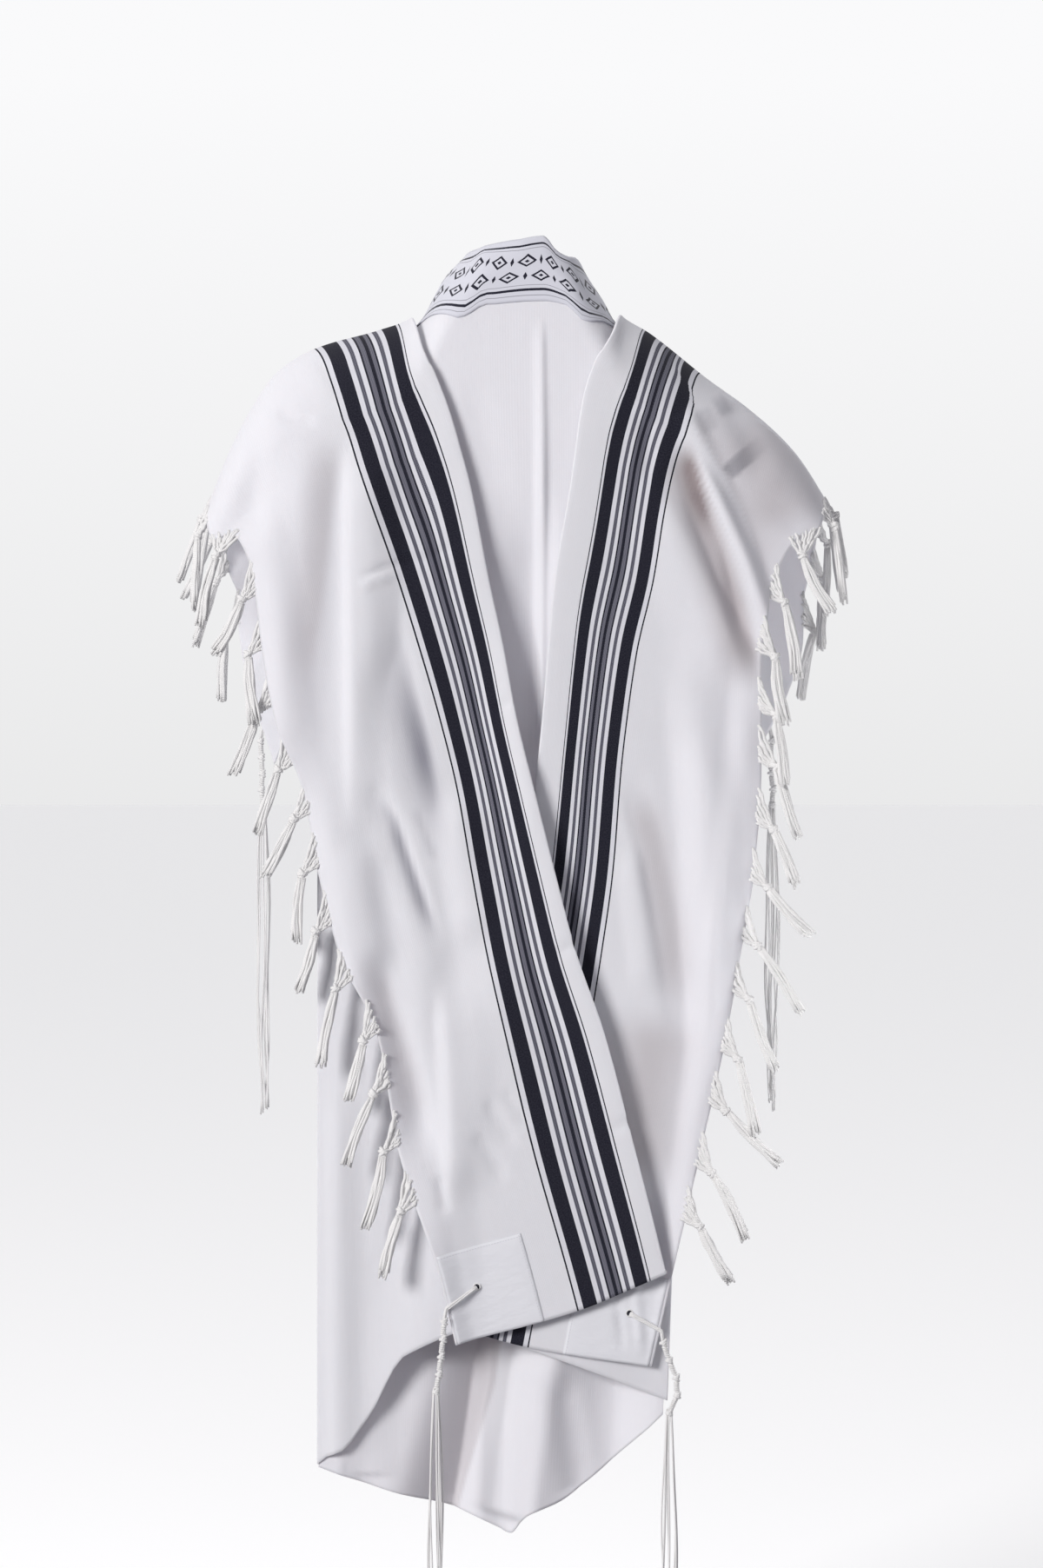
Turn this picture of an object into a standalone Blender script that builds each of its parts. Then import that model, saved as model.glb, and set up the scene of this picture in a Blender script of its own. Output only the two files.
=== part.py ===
# Tallit prayer shawl, folded over both shoulders, seen from behind at azimuth 0.
# Metres, +Z up. The wearer faces +Y. The origin is the neck, level with the shoulders.
# "Side" runs left to right, "drop" runs down from the shoulder line: plus behind, minus in front.

import math
from collections import namedtuple

import bmesh
import bpy
import numpy as np
from mathutils import Vector

OBJECT_NAME = "tallit_prayer_shawl"

# Cut of the cloth
CLOTH_WIDTH = 1.36
WALL = 0.0016
SEAM_GAP = 0.0003
END_PANEL_WIDTH = 0.220
BAND_LINE = 0.095
PATCH_SIDE = 0.090
PATCH_WALL = 0.0010
NECKBAND_WIDTH = 0.075
NECKBAND_WALL = 0.0012
NECK_TO_FOLD = 0.260

# Room between one layer and the next
LAYER_AT_SHOULDER = 0.0056
LAYER_HANGING = 0.0060
FOLD_GAP = 0.0007
SHOULDER_FADE = 0.30
CROSSING_RAMP = 0.070
LAYER_EASE = 0.0028
OVER_NECKBAND = 0.0072
NECKBAND_REACH = 0.19
OVER_SHOULDER = (0.18, 0.60)
HEM_STEP = 0.004
THREAD_STEP = 0.010
NORMAL_REACH = 0.012

# Fringe and corner tassels
STRIP_WIDTH = 0.003
TASSEL_PITCH = 0.057
TASSEL_CLEAR_OF_CORNER = 0.140
CLEAR_OF_CREST = 0.002
LEG_SPREAD = 0.011
LEG_WIDTH = 0.004
LEG_DROP = 0.022
LEG_TIP = 0.0010
LEG_STOP = (0.0080, 0.0045)
KNOT_HALF = 0.0048
KNOT_OUT = 0.007
TAIL_HALF = 0.0055
TAIL_LENGTH = 0.066
TASSEL_SEED = 11
TZITZIT_RADIUS = 0.0028
TZITZIT_KNOT_RADIUS = 0.0042
TZITZIT_WOUND = 0.095
TZITZIT_KNOTS = (3, 5, 7, 9, 11)
TZITZIT_TURN = 0.012
EYELET_TO_EDGE = 0.031
EYELET_TO_HEM = 0.050
CORD_TO_HEM = 0.038
CORD_CLEARANCE = 0.004
STRAND_HALF = 0.0009
LOWEST_POINT = -1.425
LOWEST_IN_FRONT = -0.83

# Shoulder line of a general figure, left to right
Crest = namedtuple("Crest", "side height")
SHOULDER_LINE = (
    Crest(-0.328, -0.250),
    Crest(-0.309, -0.188),
    Crest(-0.290, -0.137),
    Crest(-0.268, -0.093),
    Crest(-0.243, -0.057),
    Crest(-0.207, -0.035),
    Crest(-0.144, -0.017),
    Crest(-0.108, -0.003),
    Crest(-0.075, 0.050),
    Crest(-0.058, 0.068),
    Crest(-0.035, 0.095),
    Crest(0.021, 0.107),
    Crest(0.045, 0.088),
    Crest(0.065, 0.050),
    Crest(0.082, 0.024),
    Crest(0.095, 0.001),
    Crest(0.126, -0.019),
    Crest(0.185, -0.066),
    Crest(0.225, -0.095),
    Crest(0.270, -0.137),
    Crest(0.304, -0.190),
    Crest(0.340, -0.262),
)

# How far behind and before the shoulder line the cloth hangs
Hang = namedtuple("Hang", "height behind before")
HANG = (
    Hang(-1.45, 0.135, 0.125),
    Hang(-0.80, 0.138, 0.125),
    Hang(-0.50, 0.136, 0.124),
    Hang(-0.25, 0.134, 0.118),
    Hang(-0.14, 0.122, 0.104),
    Hang(-0.06, 0.102, 0.082),
    Hang(0.00, 0.084, 0.064),
    Hang(0.05, 0.072, 0.058),
    Hang(0.11, 0.066, 0.055),
)

# How the figure narrows towards the arms, and how high its shoulder rounds over
Girth = namedtuple("Girth", "side behind before rounding")
GIRTH = (
    Girth(0.00, 1.00, 1.00, 0.040),
    Girth(0.06, 1.00, 1.00, 0.055),
    Girth(0.14, 0.98, 1.00, 0.090),
    Girth(0.25, 0.88, 1.15, 0.090),
    Girth(0.35, 0.72, 1.25, 0.090),
)

# Back panel: one row for each thread line, from the neck edge to the hem
Column = namedtuple("Column", "across neck collar waist hem")
BACK_ALONG = (0.0, NECKBAND_WIDTH, 0.48, CLOTH_WIDTH)
BACK_COLUMNS = (
    Column(-0.260, (-0.096, -0.110), (-0.172, -0.085), (-0.204, 0.450), (-0.204, 1.161)),
    Column(-0.190, (-0.084, -0.075), (-0.152, -0.050), (-0.150, 0.450), (-0.140, 1.184)),
    Column(-0.135, (-0.070, -0.035), (-0.130, -0.018), (-0.105, 0.450), (-0.090, 1.200)),
    Column(-0.095, (-0.057, 0.004), (-0.106, 0.010), (-0.078, 0.450), (-0.060, 1.211)),
    Column(-0.060, (-0.038, 0.027), (-0.075, 0.050), (-0.048, 0.450), (-0.040, 1.218)),
    Column(-0.025, (-0.010, 0.028), (-0.025, 0.071), (-0.012, 0.450), (-0.022, 1.224)),
    Column(0.000, (0.020, 0.028), (0.020, 0.074), (0.021, 0.450), (-0.011, 1.228)),
    Column(0.020, (0.034, 0.034), (0.050, 0.062), (0.048, 0.450), (0.006, 1.209)),
    Column(0.040, (0.045, 0.031), (0.080, 0.041), (0.075, 0.450), (0.040, 1.195)),
    Column(0.065, (0.060, 0.004), (0.104, 0.010), (0.100, 0.450), (0.075, 1.170)),
    Column(0.120, (0.073, -0.038), (0.130, -0.018), (0.125, 0.450), (0.110, 1.138)),
    Column(0.185, (0.086, -0.080), (0.152, -0.050), (0.150, 0.450), (0.130, 1.119)),
    Column(0.260, (0.097, -0.115), (0.172, -0.085), (0.170, 0.450), (0.142, 1.107)),
)

# End panels: sides of three thread lines at each drop. Inner is the folded edge,
# stripe is the outer edge of the striped band, outer is the fringed edge.
Lines = namedtuple("Lines", "drop inner stripe outer")
LEFT_END = (
    Lines(-0.45, -0.100, -0.180, -0.262),
    Lines(-0.30, -0.103, -0.192, -0.292),
    Lines(-0.15, -0.107, -0.202, -0.304),
    Lines(0.00, -0.106, -0.210, -0.307),
    Lines(0.05, -0.097, -0.196, -0.307),
    Lines(0.10, -0.084, -0.176, -0.303),
    Lines(0.15, -0.068, -0.162, -0.292),
    Lines(0.20, -0.052, -0.147, -0.278),
    Lines(0.26, -0.037, -0.127, -0.264),
    Lines(0.33, -0.021, -0.105, -0.255),
    Lines(0.41, -0.006, -0.082, -0.240),
    Lines(0.48, 0.011, -0.065, -0.214),
    Lines(0.56, 0.031, -0.051, -0.199),
    Lines(0.64, 0.052, -0.036, -0.178),
    Lines(0.72, 0.079, -0.018, -0.141),
    Lines(0.84, 0.110, 0.011, -0.118),
    Lines(0.96, 0.140, 0.045, -0.079),
    Lines(1.04, 0.158, 0.066, -0.061),
)
LEFT_END_HEM = Lines(0.0, 0.963, 1.000, 1.032)
RIGHT_END = (
    Lines(-0.45, 0.088, 0.160, 0.240),
    Lines(-0.30, 0.092, 0.168, 0.284),
    Lines(-0.15, 0.096, 0.178, 0.302),
    Lines(0.00, 0.094, 0.183, 0.302),
    Lines(0.04, 0.088, 0.176, 0.298),
    Lines(0.08, 0.075, 0.165, 0.293),
    Lines(0.12, 0.064, 0.160, 0.284),
    Lines(0.20, 0.050, 0.149, 0.266),
    Lines(0.27, 0.035, 0.134, 0.248),
    Lines(0.34, 0.028, 0.116, 0.236),
    Lines(0.40, 0.023, 0.107, 0.236),
    Lines(0.46, 0.017, 0.100, 0.236),
    Lines(0.56, 0.006, 0.092, 0.229),
    Lines(0.64, -0.007, 0.081, 0.216),
    Lines(0.72, -0.023, 0.068, 0.200),
    Lines(0.80, -0.041, 0.053, 0.183),
    Lines(0.94, -0.074, 0.026, 0.152),
    Lines(1.06, -0.101, 0.003, 0.126),
)
RIGHT_END_HEM = Lines(0.0, 1.010, 1.038, 1.057)
END_GIVE = Lines(0.0, 1.030, 1.015, 1.000)

# Stretches that turn back beneath the end panels: the folded edge is the end panel's
UNDER_MIDDLE = 0.70
Under = namedtuple("Under", "drop middle outer")
LEFT_UNDER = (
    Under(-0.30, -0.172, -0.196),
    Under(0.00, -0.178, -0.202),
    Under(0.25, -0.162, -0.204),
    Under(0.50, -0.148, -0.204),
    Under(0.80, -0.132, -0.204),
    Under(1.17, -0.108, -0.204),
)
LEFT_UNDER_HEM = Under(0.0, 1.050, 1.161)
RIGHT_UNDER = (
    Under(-0.30, 0.156, 0.180),
    Under(0.00, 0.160, 0.186),
    Under(0.25, 0.146, 0.176),
    Under(0.50, 0.132, 0.168),
    Under(0.80, 0.108, 0.156),
    Under(1.17, 0.068, 0.142),
)
RIGHT_UNDER_HEM = Under(0.0, 1.070, 1.096)
UNDER_GIVE = Under(0.0, 1.030, 1.030)

# Folds: plus stands out, minus sinks in. Places are side and drop, widths left and right.
FOLD_GROWS = 0.30
FOLD_FADES = 0.55
FOLD_ENDS = 1.35
Fold = namedtuple("Fold", "top bottom left_width right_width depth")
BACK_FOLDS = (
    Fold((0.021, 0.090), (0.021, 0.520), 0.010, 0.010, 0.0030),
    Fold((-0.020, 0.860), (-0.076, 1.260), 0.120, 0.080, -0.0600),
    Fold((0.100, 0.900), (0.084, 1.250), 0.080, 0.050, -0.0260),
)
LEFT_END_FOLDS = (
    Fold((-0.170, 0.110), (-0.171, 0.440), 0.028, 0.020, 0.0130),
    Fold((-0.270, 0.140), (-0.232, 0.400), 0.035, 0.035, 0.0100),
    Fold((-0.115, 0.480), (-0.072, 0.980), 0.040, 0.040, 0.0080),
    Fold((-0.210, 0.420), (-0.075, 1.080), 0.035, 0.035, 0.0160),
)
RIGHT_END_FOLDS = (
    Fold((0.170, 0.090), (0.247, 0.330), 0.018, 0.020, 0.0150),
    Fold((0.166, 0.300), (0.196, 0.760), 0.034, 0.040, 0.0100),
    Fold((0.235, 0.300), (0.150, 1.000), 0.022, 0.030, 0.0090),
)
LEFT_UNDER_FOLDS = (
    Fold((-0.186, 0.700), (-0.184, 1.250), 0.016, 0.030, 0.0080),
)
RIGHT_UNDER_FOLDS = ()

# Swing of the fringe away from straight down, by distance from the front hem, in degrees
Swing = namedtuple("Swing", "along swing")
LEFT_SWING = (
    Swing(0.0, 0),
    Swing(0.40, 4),
    Swing(0.62, 5),
    Swing(0.90, 18),
    Swing(1.10, 14),
    Swing(1.36, 0),
)
RIGHT_SWING = (
    Swing(0.0, -14),
    Swing(0.36, -8),
    Swing(0.46, 10),
    Swing(0.62, 8),
    Swing(0.90, 24),
    Swing(1.10, 26),
    Swing(1.36, 10),
)

# Finish of each material
Finish = namedtuple("Finish", "red green blue roughness metallic")
WOOL_FINISH = Finish(0.86, 0.85, 0.86, 0.85, 0.0)
BAND_FINISH = Finish(0.90, 0.90, 0.93, 0.60, 0.0)
PATCH_FINISH = Finish(0.88, 0.88, 0.90, 0.65, 0.0)
FRINGE_FINISH = Finish(0.88, 0.87, 0.85, 0.90, 0.0)


def ease(value):
    """Smooth step from 0 to 1."""
    value = min(max(value, 0.0), 1.0)
    return value * value * (3.0 - 2.0 * value)


def smooth_through(place, places, values):
    """Smooth curve through table values that never overshoots them."""
    places = np.asarray(places, float)
    values = np.asarray(values, float)
    slopes = np.diff(values) / np.diff(places)
    tangents = np.zeros(len(places))
    tangents[0] = slopes[0]
    tangents[-1] = slopes[-1]
    for index in range(1, len(places) - 1):
        before = slopes[index - 1]
        after = slopes[index]
        if before * after > 0:
            tangents[index] = 2.0 * before * after / (before + after)
    place = min(max(place, places[0]), places[-1])
    index = int(np.clip(np.searchsorted(places, place) - 1, 0, len(places) - 2))
    span = places[index + 1] - places[index]
    part = (place - places[index]) / span
    start = (2 * part**3 - 3 * part**2 + 1) * values[index]
    start_slope = (part**3 - 2 * part**2 + part) * span * tangents[index]
    end = (3 * part**2 - 2 * part**3) * values[index + 1]
    end_slope = (part**3 - part**2) * span * tangents[index + 1]
    return start + start_slope + end + end_slope


def read_table(table, key, column, place):
    """Value of a named column at a place between a table's rows."""
    keys = [getattr(row, key) for row in table]
    values = [getattr(row, column) for row in table]
    if keys[0] > keys[-1]:
        keys = keys[::-1]
        values = values[::-1]
    return smooth_through(place, keys, values)


def figure_point(side, drop):
    """Point of the general figure at a side and drop."""
    fall = abs(drop)
    rounding = read_table(GIRTH, "side", "rounding", abs(side))
    fade_length = SHOULDER_FADE if drop > 0 else 2.0 * SHOULDER_FADE
    fade = 1.0 - ease(fall / fade_length)
    outward = 1.0
    if fall < rounding:
        turn = 0.5 * math.pi * fall / rounding
        fall = rounding * (1.0 - math.cos(turn))
        outward = math.sin(turn)
    crest = read_table(SHOULDER_LINE, "side", "height", side)
    height = crest * fade - fall
    face = "behind" if drop > 0 else "before"
    depth = read_table(HANG, "height", face, height) * read_table(GIRTH, "side", face, abs(side))
    direction = -1.0 if drop > 0 else 1.0
    return Vector((side, direction * depth * outward, height))


def worn_point(side, drop, lift):
    """Point of the cloth at a side and drop, lifted square off the general figure."""
    across = figure_point(side + NORMAL_REACH, drop) - figure_point(side - NORMAL_REACH, drop)
    down = figure_point(side, drop + NORMAL_REACH) - figure_point(side, drop - NORMAL_REACH)
    return figure_point(side, drop) + down.cross(across).normalized() * lift


def layer_lift(level, drop):
    """Lift of a layer: pressed close on the shoulder, looser where it hangs."""
    room = LAYER_AT_SHOULDER + (LAYER_HANGING - LAYER_AT_SHOULDER) * ease(abs(drop) / SHOULDER_FADE)
    return level * room


def fold_relief(folds, side, drop):
    """Height of the named folds at a place on the cloth."""
    total = 0.0
    for fold in folds:
        run = fold.bottom[1] - fold.top[1]
        part = (drop - fold.top[1]) / run
        if part <= 0.0 or part >= FOLD_ENDS:
            continue
        centre = fold.top[0] + (fold.bottom[0] - fold.top[0]) * part
        width = fold.left_width if side < centre else fold.right_width
        across = 1.0 - ease(abs(side - centre) / width)
        ends = ease(part / FOLD_GROWS) * ease((FOLD_ENDS - part) / FOLD_FADES)
        total += fold.depth * across * ends
    return total


def thread_line(rows, column, hem_drop, give):
    """Drops at every step along one thread line, worked out from the cloth's own width and give."""
    drops = [hem_drop]
    lengths = [CLOTH_WIDTH]
    drop = hem_drop
    last = worn_point(read_table(rows, "drop", column, drop), drop, 0.0)
    while lengths[-1] > 0.0:
        drop -= THREAD_STEP
        point = worn_point(read_table(rows, "drop", column, drop), drop, 0.0)
        drops.append(drop)
        lengths.append(lengths[-1] - (point - last).length / give)
        last = point
    return lengths[::-1], drops[::-1]


def line_place(rows, column, line, along):
    """Side and drop on a thread line, along from the front hem."""
    drop = float(np.interp(along, line[0], line[1]))
    return read_table(rows, "drop", column, drop), drop


def back_place(across, along):
    """Side and drop on the back panel."""
    result = []
    for axis in (0, 1):
        keys = [row.across for row in BACK_COLUMNS]
        cells = []
        for column in ("neck", "collar", "waist", "hem"):
            cells.append(smooth_through(across, keys, [getattr(row, column)[axis] for row in BACK_COLUMNS]))
        result.append(smooth_through(along, BACK_ALONG, cells))
    return result[0], result[1]


def back_point(across, along):
    """Point on the back panel, across from the centre crease and along from the neck edge."""
    side, drop = back_place(across, along)
    point = worn_point(side, drop, 0.0)
    point.y -= fold_relief(BACK_FOLDS, side, drop)
    return point


def end_place(is_left, across, along):
    """Side and drop on an end panel, across from its folded edge."""
    rows = LEFT_END if is_left else RIGHT_END
    cells = []
    for column, line in zip(("inner", "stripe", "outer"), END_THREADS[is_left]):
        cells.append(line_place(rows, column, line, along))
    positions = (0.0, BAND_LINE, END_PANEL_WIDTH)
    side = smooth_through(across, positions, [cell[0] for cell in cells])
    drop = smooth_through(across, positions, [cell[1] for cell in cells])
    return side, drop


def left_crossing(side, drop):
    """Extra layers where the left end lies over the right end."""
    reach = read_table(RIGHT_END, "drop", "inner", drop) - CROSSING_RAMP
    return 2.0 * ease((side - reach) / CROSSING_RAMP) * ease((drop - 0.20) / 0.20)


def end_lift(is_left, side, drop, folds):
    """Lift of an end panel's inner face."""
    level = 2.0
    if is_left:
        level += left_crossing(side, drop)
    return layer_lift(level, drop) + max(0.0, fold_relief(folds, side, drop))


def end_point(is_left, across, along):
    """Point on an end panel, across from its folded edge and along from its front hem."""
    folds = LEFT_END_FOLDS if is_left else RIGHT_END_FOLDS
    side, drop = end_place(is_left, across, along)
    return worn_point(side, drop, end_lift(is_left, side, drop, folds))


def under_point(is_left, part, along):
    """Point on an under fold: part 0 at the end panel's folded edge, 1 at the outer fold."""
    rows = LEFT_UNDER if is_left else RIGHT_UNDER
    folds = LEFT_UNDER_FOLDS if is_left else RIGHT_UNDER_FOLDS
    cells = [end_place(is_left, 0.0, along)]
    for column, line in zip(("middle", "outer"), UNDER_THREADS[is_left]):
        cells.append(line_place(rows, column, line, along))
    positions = (0.0, UNDER_MIDDLE, 1.0)
    side = smooth_through(part, positions, [cell[0] for cell in cells])
    drop = smooth_through(part, positions, [cell[1] for cell in cells])
    top_lift = end_lift(is_left, side, drop, ()) - WALL - FOLD_GAP - LAYER_EASE * ease(part / 0.12)
    hanging = ease((abs(drop) - NECKBAND_REACH) / SHOULDER_FADE)
    low_lift = OVER_NECKBAND + (WALL + FOLD_GAP - OVER_NECKBAND) * hanging
    blend = ease((part - 0.55) / 0.45)
    lift = top_lift + (low_lift - top_lift) * blend + fold_relief(folds, side, drop)
    return worn_point(side, drop, lift)


def marks(breaks, step):
    """Values through every break, no further apart than a step."""
    values = [breaks[0]]
    for start, end in zip(breaks[:-1], breaks[1:]):
        count = max(1, math.ceil((end - start) / step - 1e-9))
        for index in range(count):
            values.append(start + (end - start) * (index + 1) / count)
    return values


def make_material(name, finish):
    """Principled material of one colour."""
    material = bpy.data.materials.new(name)
    material.use_nodes = True
    shader = material.node_tree.nodes["Principled BSDF"]
    shader.inputs["Base Color"].default_value = (finish.red, finish.green, finish.blue, 1.0)
    shader.inputs["Roughness"].default_value = finish.roughness
    shader.inputs["Metallic"].default_value = finish.metallic
    return material


def add_mesh_object(name, bm, material, collection):
    """New object of a bmesh."""
    mesh = bpy.data.meshes.new(name)
    bm.normal_update()
    bm.to_mesh(mesh)
    bm.free()
    mesh.shade_smooth()
    piece = bpy.data.objects.new(name, mesh)
    piece.data.materials.append(material)
    collection.objects.link(piece)
    return piece


def grid_surface(rows):
    """Open surface through rows of points."""
    row_count = len(rows)
    column_count = len(rows[0])
    bm = bmesh.new()
    bmesh.ops.create_grid(bm, x_segments=column_count - 1, y_segments=row_count - 1, size=0.5)
    order = {}
    for vertex in bm.verts:
        column = round((vertex.co.x + 0.5) * (column_count - 1))
        row = round((vertex.co.y + 0.5) * (row_count - 1))
        order[(row, column)] = vertex
    for (row, column), vertex in order.items():
        vertex.co = rows[row][column]
    bm.normal_update()
    return bm, order


def add_wall(piece, thickness):
    """Give an open surface its thickness, outwards."""
    wall = piece.modifiers.new("wall", "SOLIDIFY")
    wall.thickness = thickness
    wall.offset = 1.0
    wall.use_even_offset = False


def add_cloth(name, rows, outward_is_reversed, thickness, material, collection):
    """Cloth wall on rows of points. Returns the rows of points and of outward normals."""
    bm, order = grid_surface(rows)
    if outward_is_reversed:
        bmesh.ops.reverse_faces(bm, faces=bm.faces[:])
        bm.normal_update()
    points = []
    normals = []
    for row in range(len(rows)):
        vertices = [order[(row, column)] for column in range(len(rows[0]))]
        points.append([vertex.co.copy() for vertex in vertices])
        normals.append([vertex.normal.copy() for vertex in vertices])
    piece = add_mesh_object(name, bm, material, collection)
    add_wall(piece, thickness)
    return points, normals


def add_overlay(name, points, normals, row_range, column_range, outward_is_reversed, thickness,
                material, collection):
    """Wall that lies on a cloth, made from the cloth's own points moved out."""
    rows = []
    for row in range(row_range[0], row_range[1] + 1):
        line = []
        for column in range(column_range[0], column_range[1] + 1):
            line.append(points[row][column] + normals[row][column] * (WALL + SEAM_GAP))
        rows.append(line)
    return add_cloth(name, rows, outward_is_reversed, thickness, material, collection)


def edge_line(points, normals):
    """Fringed edge of a cloth: positions, inner neighbours, normals and distances from the front."""
    edge = [row[-1] for row in points]
    inside = [row[-2] for row in points]
    facing = [row[-1] for row in normals]
    distances = [0.0]
    for first, second in zip(edge[:-1], edge[1:]):
        distances.append(distances[-1] + (second - first).length)
    return edge, inside, facing, distances


def edge_frame(line, distance):
    """Position, outward direction and normal at a distance along an edge."""
    edge, inside, facing, distances = line
    index = int(np.clip(np.searchsorted(distances, distance) - 1, 0, len(distances) - 2))
    part = (distance - distances[index]) / (distances[index + 1] - distances[index])
    place = edge[index].lerp(edge[index + 1], part)
    inner = inside[index].lerp(inside[index + 1], part)
    normal = facing[index].lerp(facing[index + 1], part).normalized()
    along = (edge[index + 1] - edge[index]).normalized()
    outward = place - inner
    outward = (outward - normal * outward.dot(normal)).normalized()
    outward = (outward - along * (0.9 * outward.dot(along))).normalized()
    return place, outward, normal


def grow(bm, face, wide, thin, rings):
    """Extrude a four-sided face through rings of centre, way and two half sizes."""
    outward = face.normal.copy()
    centre = face.calc_center_median()
    last_wide = wide
    last_thin = thin
    for ring_centre, way, half_wide, half_thin in rings:
        turn = outward.rotation_difference(way)
        ring_wide = turn @ wide
        ring_thin = turn @ thin
        face = bmesh.ops.extrude_discrete_faces(bm, faces=[face])["faces"][0]
        for vertex in face.verts:
            offset = vertex.co - centre
            wide_sign = math.copysign(half_wide, offset.dot(last_wide))
            thin_sign = math.copysign(half_thin, offset.dot(last_thin))
            vertex.co = ring_centre + ring_wide * wide_sign + ring_thin * thin_sign
        centre = ring_centre
        last_wide = ring_wide
        last_thin = ring_thin


def tassel_rings(root, outward, normal, swing, length, lean):
    """Knot, tail direction, and rings of one leg, its knot and its tail."""
    down = Vector((0.0, 0.0, -1.0))
    away = Vector((outward.x, 0.0, 0.0)).normalized()
    leg_way = (outward * 0.7 + down * 0.7).normalized()
    knot = root + leg_way * LEG_DROP + normal * KNOT_OUT
    way = (down * math.cos(swing) + away * math.sin(swing) + normal * lean).normalized()
    between = (leg_way + way).normalized()
    rings = [
        (knot - leg_way * 0.008, (knot - root).normalized(), LEG_WIDTH * 0.5, LEG_WIDTH * 0.4),
        (knot, between, KNOT_HALF, KNOT_HALF * 0.8),
        (knot + way * 0.010, way, KNOT_HALF * 0.75, KNOT_HALF * 0.6),
        (knot + way * (length * 0.6), way, TAIL_HALF, TAIL_HALF * 0.6),
        (knot + way * length, way, TAIL_HALF * 1.1, TAIL_HALF * 0.5),
    ]
    return knot, leg_way, rings


def add_fringe(name, line, is_left, start, end, swings, material, collection):
    """Narrow strip along the cloth's edge with its knotted tassels."""
    chance = np.random.default_rng(TASSEL_SEED + (1 if is_left else 2) + int(start * 10))
    count = max(1, int(round((end - start) / TASSEL_PITCH)))
    stations = [start]
    tassels = []
    half_leg = 0.5 * LEG_WIDTH
    for index in range(count):
        middle = start + (end - start) * (index + 0.5) / count
        middle += float(chance.uniform(-0.004, 0.004))
        swing = math.radians(read_table(swings, "along", "swing", middle) + float(chance.uniform(-7.0, 7.0)))
        length = TAIL_LENGTH * float(chance.uniform(0.85, 1.12))
        lean = float(chance.uniform(0.12, 0.20))
        tassels.append((middle, swing, length, lean))
        for leg in (middle - LEG_SPREAD, middle + LEG_SPREAD):
            stations += [leg - half_leg, leg + half_leg]
    stations.append(end)
    for corner in line[3]:
        clear = min(abs(corner - tassel[0]) for tassel in tassels)
        if start + HEM_STEP < corner < end - HEM_STEP and abs(clear - LEG_SPREAD) > HEM_STEP:
            stations.append(corner)
    stations.sort()
    frames = [edge_frame(line, station) for station in stations]
    bm = bmesh.new()
    rings = []
    for edge, outward, normal in frames:
        near = edge + outward * SEAM_GAP
        far = edge + outward * (SEAM_GAP + STRIP_WIDTH)
        ring = [near, far, far + normal * WALL, near + normal * WALL]
        rings.append([bm.verts.new(corner) for corner in ring])
    outer_faces = []
    for first, second in zip(rings[:-1], rings[1:]):
        for side in range(4):
            other = (side + 1) % 4
            face = bm.faces.new((first[side], first[other], second[other], second[side]))
            if side == 1:
                outer_faces.append(face)
    bm.faces.new(rings[0][::-1])
    bm.faces.new(rings[-1])
    bmesh.ops.recalc_face_normals(bm, faces=bm.faces[:])
    bm.normal_update()
    for middle, swing, length, lean in tassels:
        edge, outward, normal = edge_frame(line, middle)
        near_leg = outer_faces[stations.index(middle - LEG_SPREAD - half_leg)]
        far_leg = outer_faces[stations.index(middle + LEG_SPREAD - half_leg)]
        along = (far_leg.calc_center_median() - near_leg.calc_center_median()).normalized()
        if along.z > 0.0:
            near_leg, far_leg = far_leg, near_leg
        root = far_leg.calc_center_median()
        knot, leg_way, tail = tassel_rings(root, outward, normal, swing, length, lean)
        grow(bm, far_leg, along, normal, tail)
        stop = knot - leg_way * LEG_STOP[0] - along * LEG_STOP[1]
        short_way = (stop - near_leg.calc_center_median()).normalized()
        grow(bm, near_leg, along, normal, [(stop, short_way, LEG_TIP, LEG_TIP)])
    bmesh.ops.recalc_face_normals(bm, faces=bm.faces[:])
    return add_mesh_object(name, bm, material, collection)


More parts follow.
